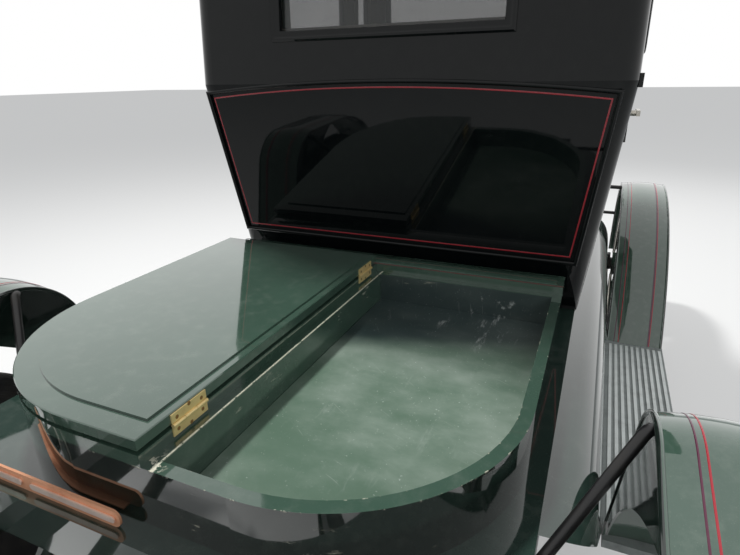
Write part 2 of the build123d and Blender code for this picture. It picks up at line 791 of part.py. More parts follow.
foot_extra = 40
with BuildLine() as rear_profile:
    rear_fender_profile(0, rear_fender_tail_angle, board_top_z - foot_extra)
tail_centre_z = axle_z + front_fender_radius - front_tail_radius
tail_start_angle = 180 - degrees(asin((board_top_z - foot_extra - tail_centre_z) / front_tail_radius))
with BuildLine() as front_profile:
    CenterArc((front_axle_x, tail_centre_z), front_tail_radius, tail_start_angle, 90 - tail_start_angle)
    CenterArc((front_axle_x, axle_z), front_fender_radius, 90, front_fender_nose_angle - 90)
profile_place = Plane.XZ.offset(-fender_mid_y).location
rear_path = profile_place * rear_profile.wire()
front_path = profile_place * front_profile.wire()
valance_inset = fender_crown + 2
foot_cut_z = board_top_z - board_rib_height - foot_extra
valance_y = fender_inner_y + bead_radius + valance_thickness / 2
fenders = []
for side in SIDES:
    with BuildPart() as rear_fender:
        with BuildSketch(Plane(origin=rear_path @ 0, x_dir=(0, 1, 0), z_dir=rear_path % 0)):
            with BuildLine():
                fender_strip_outline()
            make_face()
            with Locations((-half_section, -bead_drop), (half_section, -bead_drop)):
                Circle(bead_radius)
        sweep(path=rear_path)
        with BuildSketch(Plane.XZ.offset(-valance_y)):
            with BuildLine():
                valance_top, valance_foot = rear_fender_profile(
                    valance_inset, valance_tail_angle, valance_foot_z
                )
                Polyline(valance_foot, (valance_top.X, valance_foot_z), valance_top)
            make_face()
            with Locations((valance_arch_x, valance_arch_z)):
                Circle(valance_arch_radius, mode=Mode.SUBTRACT)
        extrude(amount=valance_thickness)
        with Locations((rear_fender_foot_x, fender_mid_y, foot_cut_z)):
            Box(4 * foot_extra, 2 * fender_outer_y, 2 * foot_extra, mode=Mode.SUBTRACT)
        if side.sign < 0:
            mirror(about=Plane.XZ, mode=Mode.REPLACE)
    save(rear_fender.part, f"rear_fender_{side.name}")
    fenders.append(rear_fender.part)
    with BuildPart() as front_fender:
        with BuildSketch(Plane(origin=front_path @ 0, x_dir=(0, 1, 0), z_dir=front_path % 0)):
            with BuildLine():
                fender_strip_outline()
            make_face()
            with Locations((-half_section, -bead_drop), (half_section, -bead_drop)):
                Circle(bead_radius)
        sweep(path=front_path)
        with Locations((board_front_x, fender_mid_y, foot_cut_z)):
            Box(4 * foot_extra, 2 * fender_outer_y, 2 * foot_extra, mode=Mode.SUBTRACT)
        if side.sign < 0:
            mirror(about=Plane.XZ, mode=Mode.REPLACE)
    save(front_fender.part, f"front_fender_{side.name}")
    fenders.append(front_fender.part)

# Splash aprons: shoulder and fall of one bent sheet each side, cut behind to the rear fender's slant and
# ahead to the front fender's curve
apron_low_z = board_top_z - board_rib_height - board_thickness
apron_inset = bead_drop + bead_radius + 1
front_top_z = pan_top_z + 1
front_mid_z = (front_top_z + apron_step_z) / 2
step_share = (front_top_z - apron_step_z) / (front_top_z - board_top_z)
rear_slant_x = apron_rear_top_x + (board_rear_x - apron_rear_top_x) * step_share
rear_foot_x = rear_fender_foot_x + apron_outset / sin(foot_slope)
rear_step_x = rear_foot_x - (apron_step_z - board_top_z) / sin(foot_slope) * cos(foot_slope)


def front_tail_x(outset, z):
    """Where a curve set out from the front fender's tail stands at a height."""
    return front_axle_x - sqrt((front_tail_radius + outset) ** 2 - (z - tail_centre_z) ** 2)


front_foot_x = front_tail_x(apron_outset, board_top_z)
apron_front_top_x = front_tail_x(-apron_inset, front_top_z)
with BuildPart() as aprons:
    with BuildSketch(Plane.YZ.offset(apron_rear_top_x)):
        with BuildLine() as apron_line:
            FilletPolyline(
                (pan_half_width, pan_top_z),
                (apron_shoulder_y, apron_shoulder_z),
                (board_inner_y, board_top_z),
                (board_inner_y, apron_low_z),
                radius=apron_fillet,
            )
            offset(apron_line.line, amount=apron_thickness, side=Side.RIGHT, closed=True)
        make_face()
    extrude(amount=apron_front_top_x - apron_rear_top_x)
    with Locations((0, 0, pan_top_z)):
        Box(4 * wheelbase, 2 * pan_half_width, 4 * apron_fillet, mode=Mode.SUBTRACT)
    with BuildSketch(Plane.XZ.offset(-2 * board_outer_y)):
        with BuildLine():
            Polyline(
                (apron_front_top_x, front_top_z),
                (apron_rear_top_x, front_top_z),
                (rear_slant_x, apron_step_z),
                (rear_step_x, apron_step_z),
                (rear_foot_x, board_top_z),
                (rear_foot_x, apron_low_z - 1),
                (front_foot_x, apron_low_z - 1),
                (front_foot_x, board_top_z),
                (front_tail_x(apron_outset, apron_step_z), apron_step_z),
                (front_tail_x(-apron_inset, apron_step_z), apron_step_z),
            )
            ThreePointArc(
                (front_tail_x(-apron_inset, apron_step_z), apron_step_z),
                (front_tail_x(-apron_inset, front_mid_z), front_mid_z),
                (apron_front_top_x, front_top_z),
            )
        make_face()
    extrude(amount=4 * board_outer_y, mode=Mode.INTERSECT)
    mirror(about=Plane.XZ)
save(aprons.part, "splash_aprons")

# Cab: lower and upper bodies as hollow shells, cut up where the real panels meet
def body_half_width(z):
    """Half width of the cab's side at a height."""
    if z < belt_z:
        share = (z - cab_step_z) / (belt_z - cab_step_z)
        return cab_half_step + (cab_half_belt - cab_half_step) * share
    share = (z - belt_z) / (eaves_z - belt_z)
    return cab_half_belt + (cab_half_eaves - cab_half_belt) * share


def back_x(z):
    """Where the middle of the cab's back stands at a height below the belt."""
    share = (z - cab_back_low_z) / (belt_z - cab_back_low_z)
    return cab_back_low_x + (cab_back_belt_x - cab_back_low_x) * share


def sweep_outline(inset):
    """Side view of the lower body, moved inwards by inset: carriage sweep behind, slanted toe ahead."""
    Polyline(
        (sweep_front_x, sill_z + inset),
        (cab_toe_x - inset / 2, sill_z + inset),
        (cab_screen_foot_x + inset, cab_toe_z + 3 * inset),
        (cab_screen_foot_x + inset, belt_z),
        (cab_back_belt_x - cab_wall, belt_z),
        (cab_back_low_x - cab_wall, cab_back_low_z + inset),
        (cab_back_low_x, cab_back_low_z + inset),
    )
    ThreePointArc(
        (cab_back_low_x, cab_back_low_z + inset),
        (sweep_mid_x + inset * 0.7, sweep_mid_z + inset * 0.7),
        (sweep_front_x, sill_z + inset),
    )


Section = namedtuple("Section", "z rear_x front_x half")
TUCK = Section(cab_step_z, back_x(cab_step_z), cab_screen_foot_x, pan_half_width)
STEP = Section(cab_step_z, back_x(cab_step_z), cab_screen_foot_x, cab_half_step)
BELT = Section(belt_z, cab_back_belt_x, cab_screen_foot_x, cab_half_belt)
EAVES = Section(eaves_z, cab_back_eaves_x, cab_screen_top_x, cab_half_eaves)


def plan_outline(section, inset):
    """Rounded plan of the cab at one section, moved inwards by inset."""
    length = section.front_x - section.rear_x - 2 * inset
    with Locations(((section.rear_x + section.front_x) / 2, 0)):
        RectangleRounded(length, 2 * (section.half - inset), cab_corner_radius - inset)


lower_shapes = []
for inset in (0, cab_wall):
    with BuildPart() as lower:
        with BuildSketch(Plane.XY.offset(STEP.z)):
            plan_outline(STEP, inset)
        with BuildSketch(Plane.XY.offset(BELT.z)):
            plan_outline(BELT, inset)
        loft(ruled=True)
        with BuildSketch(Plane.XY.offset(sill_z)):
            plan_outline(TUCK, inset)
        extrude(amount=TUCK.z - sill_z)
        with BuildSketch(Plane.XZ.offset(-2 * cab_half_belt)):
            with BuildLine():
                sweep_outline(inset)
            make_face()
        extrude(amount=4 * cab_half_belt, mode=Mode.INTERSECT)
    lower_shapes.append(lower.part)
glass_inset = (cab_wall - glass_thickness) / 2
upper_shapes = []
for inset in (0, cab_wall, glass_inset, glass_inset + glass_thickness):
    with BuildPart() as upper:
        with BuildSketch(Plane.XY.offset(BELT.z)):
            plan_outline(BELT, inset)
        with BuildSketch(Plane.XY.offset(EAVES.z)):
            plan_outline(EAVES, inset)
        loft(ruled=True)
    upper_shapes.append(upper.part)
lower_shell = lower_shapes[0] - lower_shapes[1]
upper_shell = upper_shapes[0] - upper_shapes[1]
glass_shell = upper_shapes[2] - upper_shapes[3]
cab_outside = lower_shapes[0] + upper_shapes[0]
cab_room = lower_shapes[1] + upper_shapes[1]

door_mid_x = (door_rear_x + door_front_x) / 2
door_length = door_front_x - door_rear_x
opening_length = door_front_x - door_rear_x + 2 * door_gap
opening_mid_z = (door_bottom_z - door_gap + door_top_z + door_gap) / 2
opening_height = door_top_z - door_bottom_z + 2 * door_gap
beyond = 1200

with BuildPart() as rear_body:
    add(lower_shell)
    with Locations((door_rear_x - door_gap + beyond / 2, 0, belt_z)):
        Box(beyond, 4 * cab_half_belt, 4 * belt_z, mode=Mode.SUBTRACT)
    field_plane = Plane(
        origin=(back_x(belt_z), 0, belt_z),
        x_dir=(0, -1, 0),
        z_dir=(cab_back_low_z - belt_z, 0, cab_back_belt_x - cab_back_low_x),
    )
    field_length = sqrt((belt_z - cab_back_low_z) ** 2 + (cab_back_low_x - cab_back_belt_x) ** 2)
    with BuildSketch(field_plane):
        with BuildLine():
            top_half = cab_half_belt - back_field_margin
            low_half = body_half_width(cab_back_low_z) - back_field_margin
            field_low = back_field_edge - field_length
            ThreePointArc((-top_half, -back_field_arch), (0, -1), (top_half, -back_field_arch))
            Polyline(
                (top_half, -back_field_arch),
                (low_half, field_low),
                (-low_half, field_low),
                (-top_half, -back_field_arch),
            )
        make_face()
    extrude(amount=-back_field_recess, mode=Mode.SUBTRACT)
save(rear_body.part, "cab_rear_body")

with BuildPart() as front_body:
    add(lower_shell)
    with Locations((door_front_x + door_gap - beyond / 2, 0, belt_z)):
        Box(beyond, 4 * cab_half_belt, 4 * belt_z, mode=Mode.SUBTRACT)
save(front_body.part, "cab_front_body")

# Floor with the sills under the doors standing on its edges
with BuildPart() as floor:
    add(lower_shell)
    with Locations((door_mid_x, 0, door_bottom_z - door_gap - beyond / 2)):
        Box(opening_length, 4 * cab_half_belt, beyond, mode=Mode.INTERSECT)
save(floor.part, "cab_floor")

Quarter = namedtuple("Quarter", "rear_x front_x")
QUARTERS = (
    Quarter(quarter_rear_x, quarter_front_x),
    Quarter(front_quarter_rear_x, front_quarter_front_x),
)
EndWindow = namedtuple("EndWindow", "mid_x half low_z high_z")
END_WINDOWS = (
    EndWindow(cab_back_eaves_x, back_window_half, back_window_low_z, back_window_high_z),
    EndWindow(cab_screen_top_x, screen_half, screen_low_z, window_high_z),
)
end_cut = 200
window_mid_z = (window_low_z + window_high_z) / 2
window_height = window_high_z - window_low_z
with BuildPart() as fixed_windows:
    with BuildSketch(Plane.XZ.offset(-2 * cab_half_belt)):
        for pane in QUARTERS:
            with Locations(((pane.rear_x + pane.front_x) / 2, window_mid_z)):
                RectangleRounded(pane.front_x - pane.rear_x, window_height, window_corner_radius)
    extrude(amount=4 * cab_half_belt)
    for opening in END_WINDOWS:
        opening_depth = opening.high_z - opening.low_z
        with BuildSketch(Plane.YZ.offset(opening.mid_x - end_cut / 2)):
            with Locations((0, (opening.low_z + opening.high_z) / 2)):
                RectangleRounded(2 * opening.half, opening_depth, window_corner_radius)
        extrude(amount=end_cut)
with BuildPart() as door_windows:
    with BuildSketch(Plane.XZ.offset(-2 * cab_half_belt)):
        with Locations((door_mid_x, window_mid_z)):
            RectangleRounded(door_length - 2 * door_window_margin, window_height, window_corner_radius)
    extrude(amount=4 * cab_half_belt)

with BuildPart() as upper_frame:
    add(upper_shell)
    with Locations((door_mid_x, 0, opening_mid_z)):
        Box(opening_length, 4 * cab_half_belt, opening_height, mode=Mode.SUBTRACT)
    add(fixed_windows.part, mode=Mode.SUBTRACT)
save(upper_frame.part, "cab_upper_frame")

with BuildPart() as panes:
    add(glass_shell)
    add(fixed_windows.part, mode=Mode.INTERSECT)
save(panes.part, "window_glass")

# Belt moulding: a half proud strip along the sides and the front, parted at the doors
with BuildPart() as belt_strip:
    with BuildSketch(Plane.XY.offset(belt_z - belt_height / 2)):
        plan_outline(BELT, -belt_proud)
    extrude(amount=belt_height)
    add(cab_outside, mode=Mode.SUBTRACT)
    with Locations((cab_back_belt_x + cab_corner_radius - beyond / 2, 0, belt_z)):
        Box(beyond, 4 * cab_half_belt, 2 * belt_height, mode=Mode.SUBTRACT)
with BuildPart() as belt:
    add(belt_strip.part)
    with Locations((door_mid_x, 0, belt_z)):
        Box(opening_length, 4 * cab_half_belt, 2 * belt_height, mode=Mode.SUBTRACT)
save(belt.part, "belt_moulding")

# Doors: cut from the same shells, each free edge rounded about its hinge line, with knuckles, handle
door_height = door_top_z - door_bottom_z
knuckle_third = door_hinge_height / 3
strap_length = 60
strap_bite = 6
handle_z = belt_z - 95
handle_stem_x = door_rear_x + 42
handle_reach = 36
handle_length = 96
for side in SIDES:
    axis_y = side.sign * hinge_axis_y
    handle_y = side.sign * body_half_width(handle_z)
    with BuildPart() as door:
        add(lower_shell)
        add(upper_shell)
        add(belt_strip.part)
        with Locations((door_mid_x, side.sign * beyond / 2, (door_bottom_z + door_top_z) / 2)):
            Box(door_length, beyond, door_height, mode=Mode.INTERSECT)
        with Locations((door_front_x, axis_y, belt_z)):
            Cylinder(door_length, 4 * door_height, mode=Mode.INTERSECT)
        add(door_windows.part, mode=Mode.SUBTRACT)
        for hinge_z in door_hinge_z:
            strap_depth = hinge_axis_y - body_half_width(hinge_z) + strap_bite
            strap_y = side.sign * (hinge_axis_y - strap_depth / 2)
            with Locations((door_front_x - strap_length / 2, strap_y, hinge_z)):
                Box(strap_length, strap_depth, knuckle_third - 1)
            with Locations((door_front_x, axis_y, hinge_z)):
                Cylinder(door_hinge_barrel, knuckle_third - 1)
                Cylinder(door_hinge_pin + running_fit, knuckle_third, mode=Mode.SUBTRACT)
        with Locations((handle_stem_x, handle_y + side.sign * (handle_reach / 2 - 4), handle_z)):
            Cylinder(8, handle_reach + 4, rotation=(90, 0, 0))
        with Locations((handle_stem_x + 34, handle_y + side.sign * handle_reach, handle_z)):
            Box(handle_length, 10, 16)
    save(door.part, f"door_{side.name}")
    with BuildPart() as door_pane:
        add(glass_shell)
        with Locations((door_mid_x, side.sign * beyond / 2, belt_z)):
            Box(door_length, beyond, 4 * belt_z, mode=Mode.INTERSECT)
        add(door_windows.part, mode=Mode.INTERSECT)
    save(door_pane.part, f"door_glass_{side.name}")

# Fixed halves of the door hinges: upper and lower knuckles with the pin, on straps to the body
with BuildPart() as door_hinges:
    for side in SIDES:
        for hinge_z in door_hinge_z:
            strap_depth = hinge_axis_y - body_half_width(hinge_z) + strap_bite
            strap_y = side.sign * (hinge_axis_y - strap_depth / 2)
            for level in (hinge_z - knuckle_third, hinge_z + knuckle_third):
                with Locations((door_front_x + strap_length / 2, strap_y, level)):
                    Box(strap_length, strap_depth, knuckle_third)
                with Locations((door_front_x, side.sign * hinge_axis_y, level)):
                    Cylinder(door_hinge_barrel, knuckle_third)
            with Locations((door_front_x, side.sign * hinge_axis_y, hinge_z)):
                Cylinder(door_hinge_pin, door_hinge_height)
    add(cab_outside, mode=Mode.SUBTRACT)
save(door_hinges.part, "door_hinges")

# Roof: a cambered panel with rounded corners, hollow under its skin
roof_thickness = 26
roof_mid_x = (cab_back_eaves_x + cab_screen_top_x) / 2
roof_length = cab_screen_top_x - cab_back_eaves_x + 2 * roof_overhang
roof_half = cab_half_eaves + roof_overhang
roof_shapes = []
for inset in (0, roof_thickness):
    with BuildPart() as roof_block:
        with BuildSketch(Plane.YZ.offset(roof_mid_x - roof_length / 2 + inset)):
            with BuildLine():
                Polyline(
                    (inset - roof_half, roof_edge_z - inset),
                    (inset - roof_half, eaves_z),
                    (roof_half - inset, eaves_z),
                    (roof_half - inset, roof_edge_z - inset),
                )
                ThreePointArc(
                    (roof_half - inset, roof_edge_z - inset),
                    (0, roof_top_z - inset),
                    (inset - roof_half, roof_edge_z - inset),
                )
            make_face()
        extrude(amount=roof_length - 2 * inset)
        fillet(roof_block.edges().filter_by(Axis.Z), roof_corner_radius - inset)
        crown_face = roof_block.faces().filter_by(GeomType.CYLINDER).sort_by(SortBy.AREA)[-1]
        fillet(crown_face.edges(), roof_rim_radius)
    roof_shapes.append(roof_block.part)
roof_shell = roof_shapes[0] - roof_shapes[1]
save(roof_shell, "cab_roof")

# Front hood: a tapered tub with rounded corners and a fixed strip along the cab
def hood_plan(inset, rear_x):
    """Face of the hood in plan, moved inwards by inset, square where it starts at rear_x."""
    taper = (hood_half_rear - hood_half_front) / (hood_front_x - cab_screen_foot_x)
    rear_half = hood_half_rear - taper * (rear_x - cab_screen_foot_x) - inset
    front_half = hood_half_front - inset
    with BuildSketch() as plan:
        with BuildLine():
            Polyline(
                (rear_x, -rear_half),
                (hood_front_x - inset, -front_half),
                (hood_front_x - inset, front_half),
                (rear_x, rear_half),
                close=True,
            )
        make_face()
        fillet(plan.vertices().group_by(Axis.X)[-1], hood_corner_radius - inset)
    return plan.sketch


hood_lid_low_z = hood_top_z + hood_seat_gap
hood_lid_top_z = hood_lid_low_z + hood_lid_thickness
hood_hinge_z = hood_lid_top_z + hood_hinge_rise
hood_leaf_z = hood_lid_top_z - hood_leaf_thickness / 2
hood_height = hood_top_z - hood_bottom_z
outer_plan = Pos(0, 0, hood_bottom_z) * hood_plan(0, cab_screen_foot_x)
inner_plan = Pos(0, 0, hood_bottom_z + hood_wall) * hood_plan(hood_wall, cab_screen_foot_x + hood_wall)
hood_outside = extrude(outer_plan, hood_height)
hood_inside = extrude(inner_plan, hood_height)
with BuildPart() as hood:
    add(hood_outside)
    add(hood_inside, mode=Mode.SUBTRACT)
    strip_end_x = hood_hinge_x - lid_clearance
    with Locations(((cab_screen_foot_x + strip_end_x) / 2, 0, (hood_top_z + hood_lid_top_z) / 2)):
        Box(strip_end_x - cab_screen_foot_x, 2 * hood_half_rear - 2, hood_lid_top_z - hood_top_z)
    for end in (-1, 1):
        with Locations((hood_hinge_x, end * 1.5 * hood_knuckle, hood_hinge_z)):
            Cylinder(hood_barrel_radius, hood_knuckle, rotation=(90, 0, 0))
        with Locations((hood_hinge_x - lid_clearance / 2, end * 1.5 * hood_knuckle, hood_leaf_z)):
            Box(lid_clearance + 1, hood_knuckle, hood_leaf_thickness)
    with Locations((hood_hinge_x, 0, hood_hinge_z)):
        Cylinder(hood_pin_radius, 3 * hood_knuckle, rotation=(90, 0, 0))
save(hood.part, "front_hood")
lid_plan = Pos(0, 0, hood_lid_low_z) * hood_plan(-hood_lid_overhang, hood_hinge_x + lid_clearance)
hood_lid_panel = extrude(lid_plan, hood_lid_thickness)
with BuildPart() as hood_lid:
    add(hood_lid_panel)
    with Locations((hood_hinge_x + lid_clearance / 2, 0, hood_leaf_z)):
        Box(lid_clearance + 1, hood_knuckle - 1, hood_leaf_thickness)
    with Locations((hood_hinge_x, 0, hood_hinge_z)):
        Cylinder(hood_barrel_radius, hood_knuckle - 1, rotation=(90, 0, 0))
        Cylinder(hood_pin_radius + running_fit, hood_knuckle, rotation=(90, 0, 0), mode=Mode.SUBTRACT)
save(hood_lid.part, "hood_lid")

# Batteries: one plain block in the hood and one under the fixed half of the rear deck
Battery = namedtuple("Battery", "x y low_z high_z length width")
BATTERIES = (
    Battery(1200, 0, hood_bottom_z + hood_wall, 900, 400, 660),
    Battery(-770, 240, pan_top_z, 825, 580, 400),
)
with BuildPart() as batteries:
    for block in BATTERIES:
        with Locations((block.x, block.y, (block.low_z + block.high_z) / 2)):
            Box(block.length, block.width, block.high_z - block.low_z)
save(batteries.part, "battery_blocks")

# Lamps: two hollow headlamps on arms from the hood and a small tail lamp on the pan's rim
with BuildPart() as lamps:
    for side in SIDES:
        lamp_centre = (lamp_front_x, side.sign * lamp_y, lamp_z)
        with BuildSketch(Plane(origin=lamp_centre, x_dir=(1, 0, 0), z_dir=(0, -1, 0))):
            with BuildLine():
                Polyline(
                    (-142, 0),
                    (-142, 40),
                    (-124, 72),
                    (-92, 88),
                    (-lens_depth, lamp_radius),
                    (0, lamp_radius),
                    (0, lens_radius),
                    (-lens_depth, lens_radius),
                    (-lens_depth, lens_radius - 6),
                    (-84, 76),
                    (-116, 58),
                    (-130, 0),
                    close=True,
                )
            make_face()
        revolve(axis=Axis(lamp_centre, (1, 0, 0)))
        arm_inner_y = hood_half_front - 10
        arm_outer_y = lamp_y + lamp_arm_width / 2
        arm_y = side.sign * (arm_outer_y + arm_inner_y) / 2
        with Locations((lamp_front_x - lamp_arm_back, arm_y, lamp_z - 118)):
            Box(lamp_arm_width, arm_outer_y - arm_inner_y, 14)
        with Locations((lamp_front_x - lamp_arm_back, side.sign * lamp_y, lamp_z - 105)):
            Cylinder(lamp_stem_radius, 36)
    add(hood_outside, mode=Mode.SUBTRACT)
    with Locations((pan_tail_x - tail_lamp_length / 2, tail_lamp_y, pan_top_z - pan_skirt / 2)):
        Cylinder(tail_lamp_radius, tail_lamp_length, rotation=(0, 90, 0))
save(lamps.part, "lamps")
with BuildPart() as lenses:
    for side in SIDES:
        with Locations((lamp_front_x - lens_depth + lens_thickness / 2, side.sign * lamp_y, lamp_z)):
            Cylinder(lens_radius, lens_thickness, rotation=(0, 90, 0))
save(lenses.part, "headlamp_lenses")

# Plate bar: an upright round ended strip behind the deck's tail, two pressed ribs and two bolt holes
bar_mid_z = pan_top_z + plate_bar_height / 2
bar_mid_y = (plate_bar_inner_y + plate_bar_outer_y) / 2
bar_length = plate_bar_outer_y - plate_bar_inner_y
foot_length = bar_length - 4 * plate_bar_round
foot_x = plate_bar_x + plate_bar_thickness + plate_bar_foot / 2 - 1
Rib = namedtuple("Rib", "inner_y outer_y")
PLATE_RIBS = (Rib(44, 225), Rib(245, 325))
with BuildPart() as plate_bar:
    with BuildSketch(Plane.YZ.offset(plate_bar_x)):
        with Locations((bar_mid_y, bar_mid_z)):
            RectangleRounded(bar_length, plate_bar_height, plate_bar_round)
    extrude(amount=plate_bar_thickness)
    with BuildSketch(Plane.YZ.offset(plate_bar_x)):
        for rib in PLATE_RIBS:
            with Locations(((rib.inner_y + rib.outer_y) / 2, bar_mid_z)):
                SlotOverall(rib.outer_y - rib.inner_y, plate_rib_width)
    extrude(amount=-plate_rib_proud)
    with Locations((foot_x, bar_mid_y, pan_top_z + plate_bar_thickness / 4)):
        Box(plate_bar_foot, foot_length, plate_bar_thickness / 2)
    for end in (-1, 1):
        with Locations((plate_bar_x, plate_hole_y + end * plate_hole_pitch / 2, bar_mid_z)):
            Cylinder(plate_hole_radius, 4 * plate_bar_thickness, rotation=(0, 90, 0), mode=Mode.SUBTRACT)
save(plate_bar.part, "plate_bracket")

# Braces: the bent rods from the pan to the rear fenders, straight stays from the frame and the hood, and
# the brackets under the running boards
bead_y = fender_inner_y + 2
stay_z = rail_end_z + rail_height / 2
rear_reach = rear_fender_radius - bead_drop
rear_stay_x = rear_axle_x - sqrt(rear_reach ** 2 - (stay_z - axle_z) ** 2)
front_reach = front_fender_radius - bead_drop
front_stay_x = front_axle_x + sqrt(front_reach ** 2 - (stay_z - axle_z) ** 2)
top_stay_x = front_axle_x - 70
top_reach = front_tail_radius - bead_drop
top_stay_z = tail_centre_z + sqrt(top_reach ** 2 - (front_axle_x - top_stay_x) ** 2)
Stay = namedtuple("Stay", "x inner_y z")
STAYS = (
    Stay(rear_stay_x, rail_y, stay_z),
    Stay(front_stay_x, rail_y, stay_z),
    Stay(top_stay_x, hood_half_front, top_stay_z),
)
bracket_width = 28
rod_foot_x = rear_axle_x + 144
rod_bend_x = rear_axle_x + 250
rod_bend_z = axle_z + 509
bracket_root_z = rail_mid_z + 30
bracket_z = board_base_z - bracket_depth / 2
with BuildPart() as braces:
    with BuildLine() as rod_line:
        FilletPolyline(
            (rod_foot_x, pan_half_width - 4, pan_top_z - 40),
            (rod_bend_x, fender_inner_y - 8, rod_bend_z),
            (rod_bend_x + 9.5, fender_inner_y - 1, rod_bend_z),
            radius=12,
        )
    with BuildSketch(Plane(origin=rod_line.line @ 0, z_dir=rod_line.line % 0)):
        Circle(brace_radius)
    sweep(path=rod_line.line)
    with Locations((rear_axle_x, 0, pan_top_z)):
        Box(wheelbase, 2 * pan_half_width - pan_thickness, 2 * pan_skirt, mode=Mode.SUBTRACT)
    for stay in STAYS:
        with Locations((stay.x, (stay.inner_y + bead_y) / 2, stay.z)):
            Cylinder(brace_radius, bead_y - stay.inner_y, rotation=(90, 0, 0))
    mirror(about=Plane.XZ)
    for bracket_x in (board_rear_x + 90, board_mid_x, board_front_x - 90):
        with BuildSketch(Plane.YZ.offset(bracket_x - bracket_width / 2)):
            for side in SIDES:
                with BuildLine():
                    FilletPolyline(
                        (side.sign * bracket_start_y, bracket_root_z),
                        (side.sign * (bracket_start_y + 30), bracket_root_z),
                        (side.sign * (bracket_start_y + 90), bracket_z),
                        (side.sign * (board_outer_y - 25), bracket_z),
                        radius=20,
                    )
                trace(line_width=bracket_depth)
        extrude(amount=bracket_width)
    for fender in fenders:
        add(fender, mode=Mode.SUBTRACT)
    add(pan.part, mode=Mode.SUBTRACT)
    add(frame.part, mode=Mode.SUBTRACT)
    add(hood_outside, mode=Mode.SUBTRACT)
save(braces.part, "fender_braces")

# Rear seat: a box across the cab, a cushion and a leaning back
with BuildPart() as seat_frame:
    with Locations((seat_front_x - seat_depth / 2, 0, (sill_z + seat_height_z) / 2)):
        Box(seat_depth, 4 * cab_half_belt, seat_height_z - sill_z)
    add(cab_room, mode=Mode.INTERSECT)
save(seat_frame.part, "seat_frame")
with BuildPart() as cushion:
    with Locations((seat_front_x - cushion_depth / 2, 0, (seat_height_z + cushion_top_z) / 2)):
        Box(cushion_depth, 2 * cushion_half, cushion_top_z - seat_height_z)
    fillet(cushion.edges(), cushion_round)
save(cushion.part, "seat_cushion")
with BuildPart() as seat_back:
    with BuildSketch(Plane.XZ.offset(-cushion_half)):
        with BuildLine():
            Polyline(
                (cab_back_belt_x, cushion_top_z + 2),
                (back_foot_x, cushion_top_z + 2),
                (back_head_x, seat_back_top_z),
                (cab_back_belt_x, seat_back_top_z),
                close=True,
            )
        make_face()
    extrude(amount=2 * cushion_half)
    add(cab_room, mode=Mode.INTERSECT)
    fillet(seat_back.edges().group_by(Axis.X)[-1], cushion_round)
save(seat_back.part, "seat_back")

# Tiller: a column from the floor with a pin on top, and the lever that swings about it
hub_low_z = tiller_z - tiller_hub_height / 2
hub_top_z = tiller_z + tiller_hub_height / 2
column_top_z = hub_low_z - 1
with BuildPart() as column:
    with Locations((tiller_x, tiller_y, floor_z + column_flange / 2)):
        Cylinder(column_flange_radius, column_flange)
    with Locations((tiller_x, tiller_y, (floor_z + column_top_z) / 2)):
        Cylinder(column_radius, column_top_z - floor_z)
    with Locations((tiller_x, tiller_y, tiller_z)):
        Cylinder(tiller_pin_radius, tiller_hub_height + 4)
    with Locations((tiller_x, tiller_y, hub_top_z + 1 + tiller_cap / 2)):
        Cylinder(column_radius, tiller_cap)
save(column.part, "tiller_column")
with BuildPart() as tiller:
    with Locations((tiller_x, tiller_y, tiller_z)):
        Cylinder(tiller_hub_radius, tiller_hub_height)
    with Locations((tiller_x - tiller_reach / 2, tiller_y, tiller_z)):
        Cylinder(tiller_bar_radius, tiller_reach, rotation=(0, 90, 0))
    with Locations((tiller_x - tiller_reach + tiller_grip / 2, tiller_y, tiller_z)):
        Cylinder(tiller_grip_radius, tiller_grip, rotation=(0, 90, 0))
    with Locations((tiller_x, tiller_y, tiller_z)):
        Cylinder(tiller_pin_radius + running_fit, 2 * tiller_hub_height, mode=Mode.SUBTRACT)
save(tiller.part, "tiller")
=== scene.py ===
"""Looks of the antique electric brougham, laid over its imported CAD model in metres.

X points forward, Y to the car's left, Z up, and the ground is at zero. The rear lid stands folded open.
"""

import json
import logging
from dataclasses import dataclass, field
from enum import Enum
from functools import cached_property
from math import asin, cos, degrees, pi, radians, sin, sqrt
from typing import Any, Callable, Sequence

import bmesh
import bpy
import numpy as np
from mathutils import Matrix, Vector

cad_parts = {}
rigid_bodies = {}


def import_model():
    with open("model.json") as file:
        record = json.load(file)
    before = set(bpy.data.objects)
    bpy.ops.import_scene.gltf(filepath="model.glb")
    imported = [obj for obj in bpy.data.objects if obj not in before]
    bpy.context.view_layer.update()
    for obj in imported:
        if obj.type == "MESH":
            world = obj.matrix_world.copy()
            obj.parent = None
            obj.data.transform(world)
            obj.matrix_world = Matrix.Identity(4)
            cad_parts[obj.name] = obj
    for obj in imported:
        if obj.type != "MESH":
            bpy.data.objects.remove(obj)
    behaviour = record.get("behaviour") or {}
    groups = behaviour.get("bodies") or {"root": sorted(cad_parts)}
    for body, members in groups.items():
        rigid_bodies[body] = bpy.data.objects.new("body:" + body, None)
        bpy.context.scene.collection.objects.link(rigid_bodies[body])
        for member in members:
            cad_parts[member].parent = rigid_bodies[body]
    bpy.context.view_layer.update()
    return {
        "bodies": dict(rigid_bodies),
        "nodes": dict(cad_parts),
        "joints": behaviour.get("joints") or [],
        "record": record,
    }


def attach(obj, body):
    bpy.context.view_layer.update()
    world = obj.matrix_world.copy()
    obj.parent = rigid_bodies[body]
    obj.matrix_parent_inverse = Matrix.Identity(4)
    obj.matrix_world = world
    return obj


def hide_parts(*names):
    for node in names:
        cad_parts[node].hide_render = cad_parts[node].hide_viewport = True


LOG = logging.getLogger("brougham")
X, Y, Z = range(3)
MERGE = 1e-6
TINY = 1e-12
CREASE = radians(38)
AXLE_X, AXLE_Z = 1.270, 0.381
PAINT_RISE = 0.0003
Array = np.ndarray
Pair = tuple[float, float]
Point = tuple[float, float, float]
Colour = Point
Shape = tuple[Array, Array]


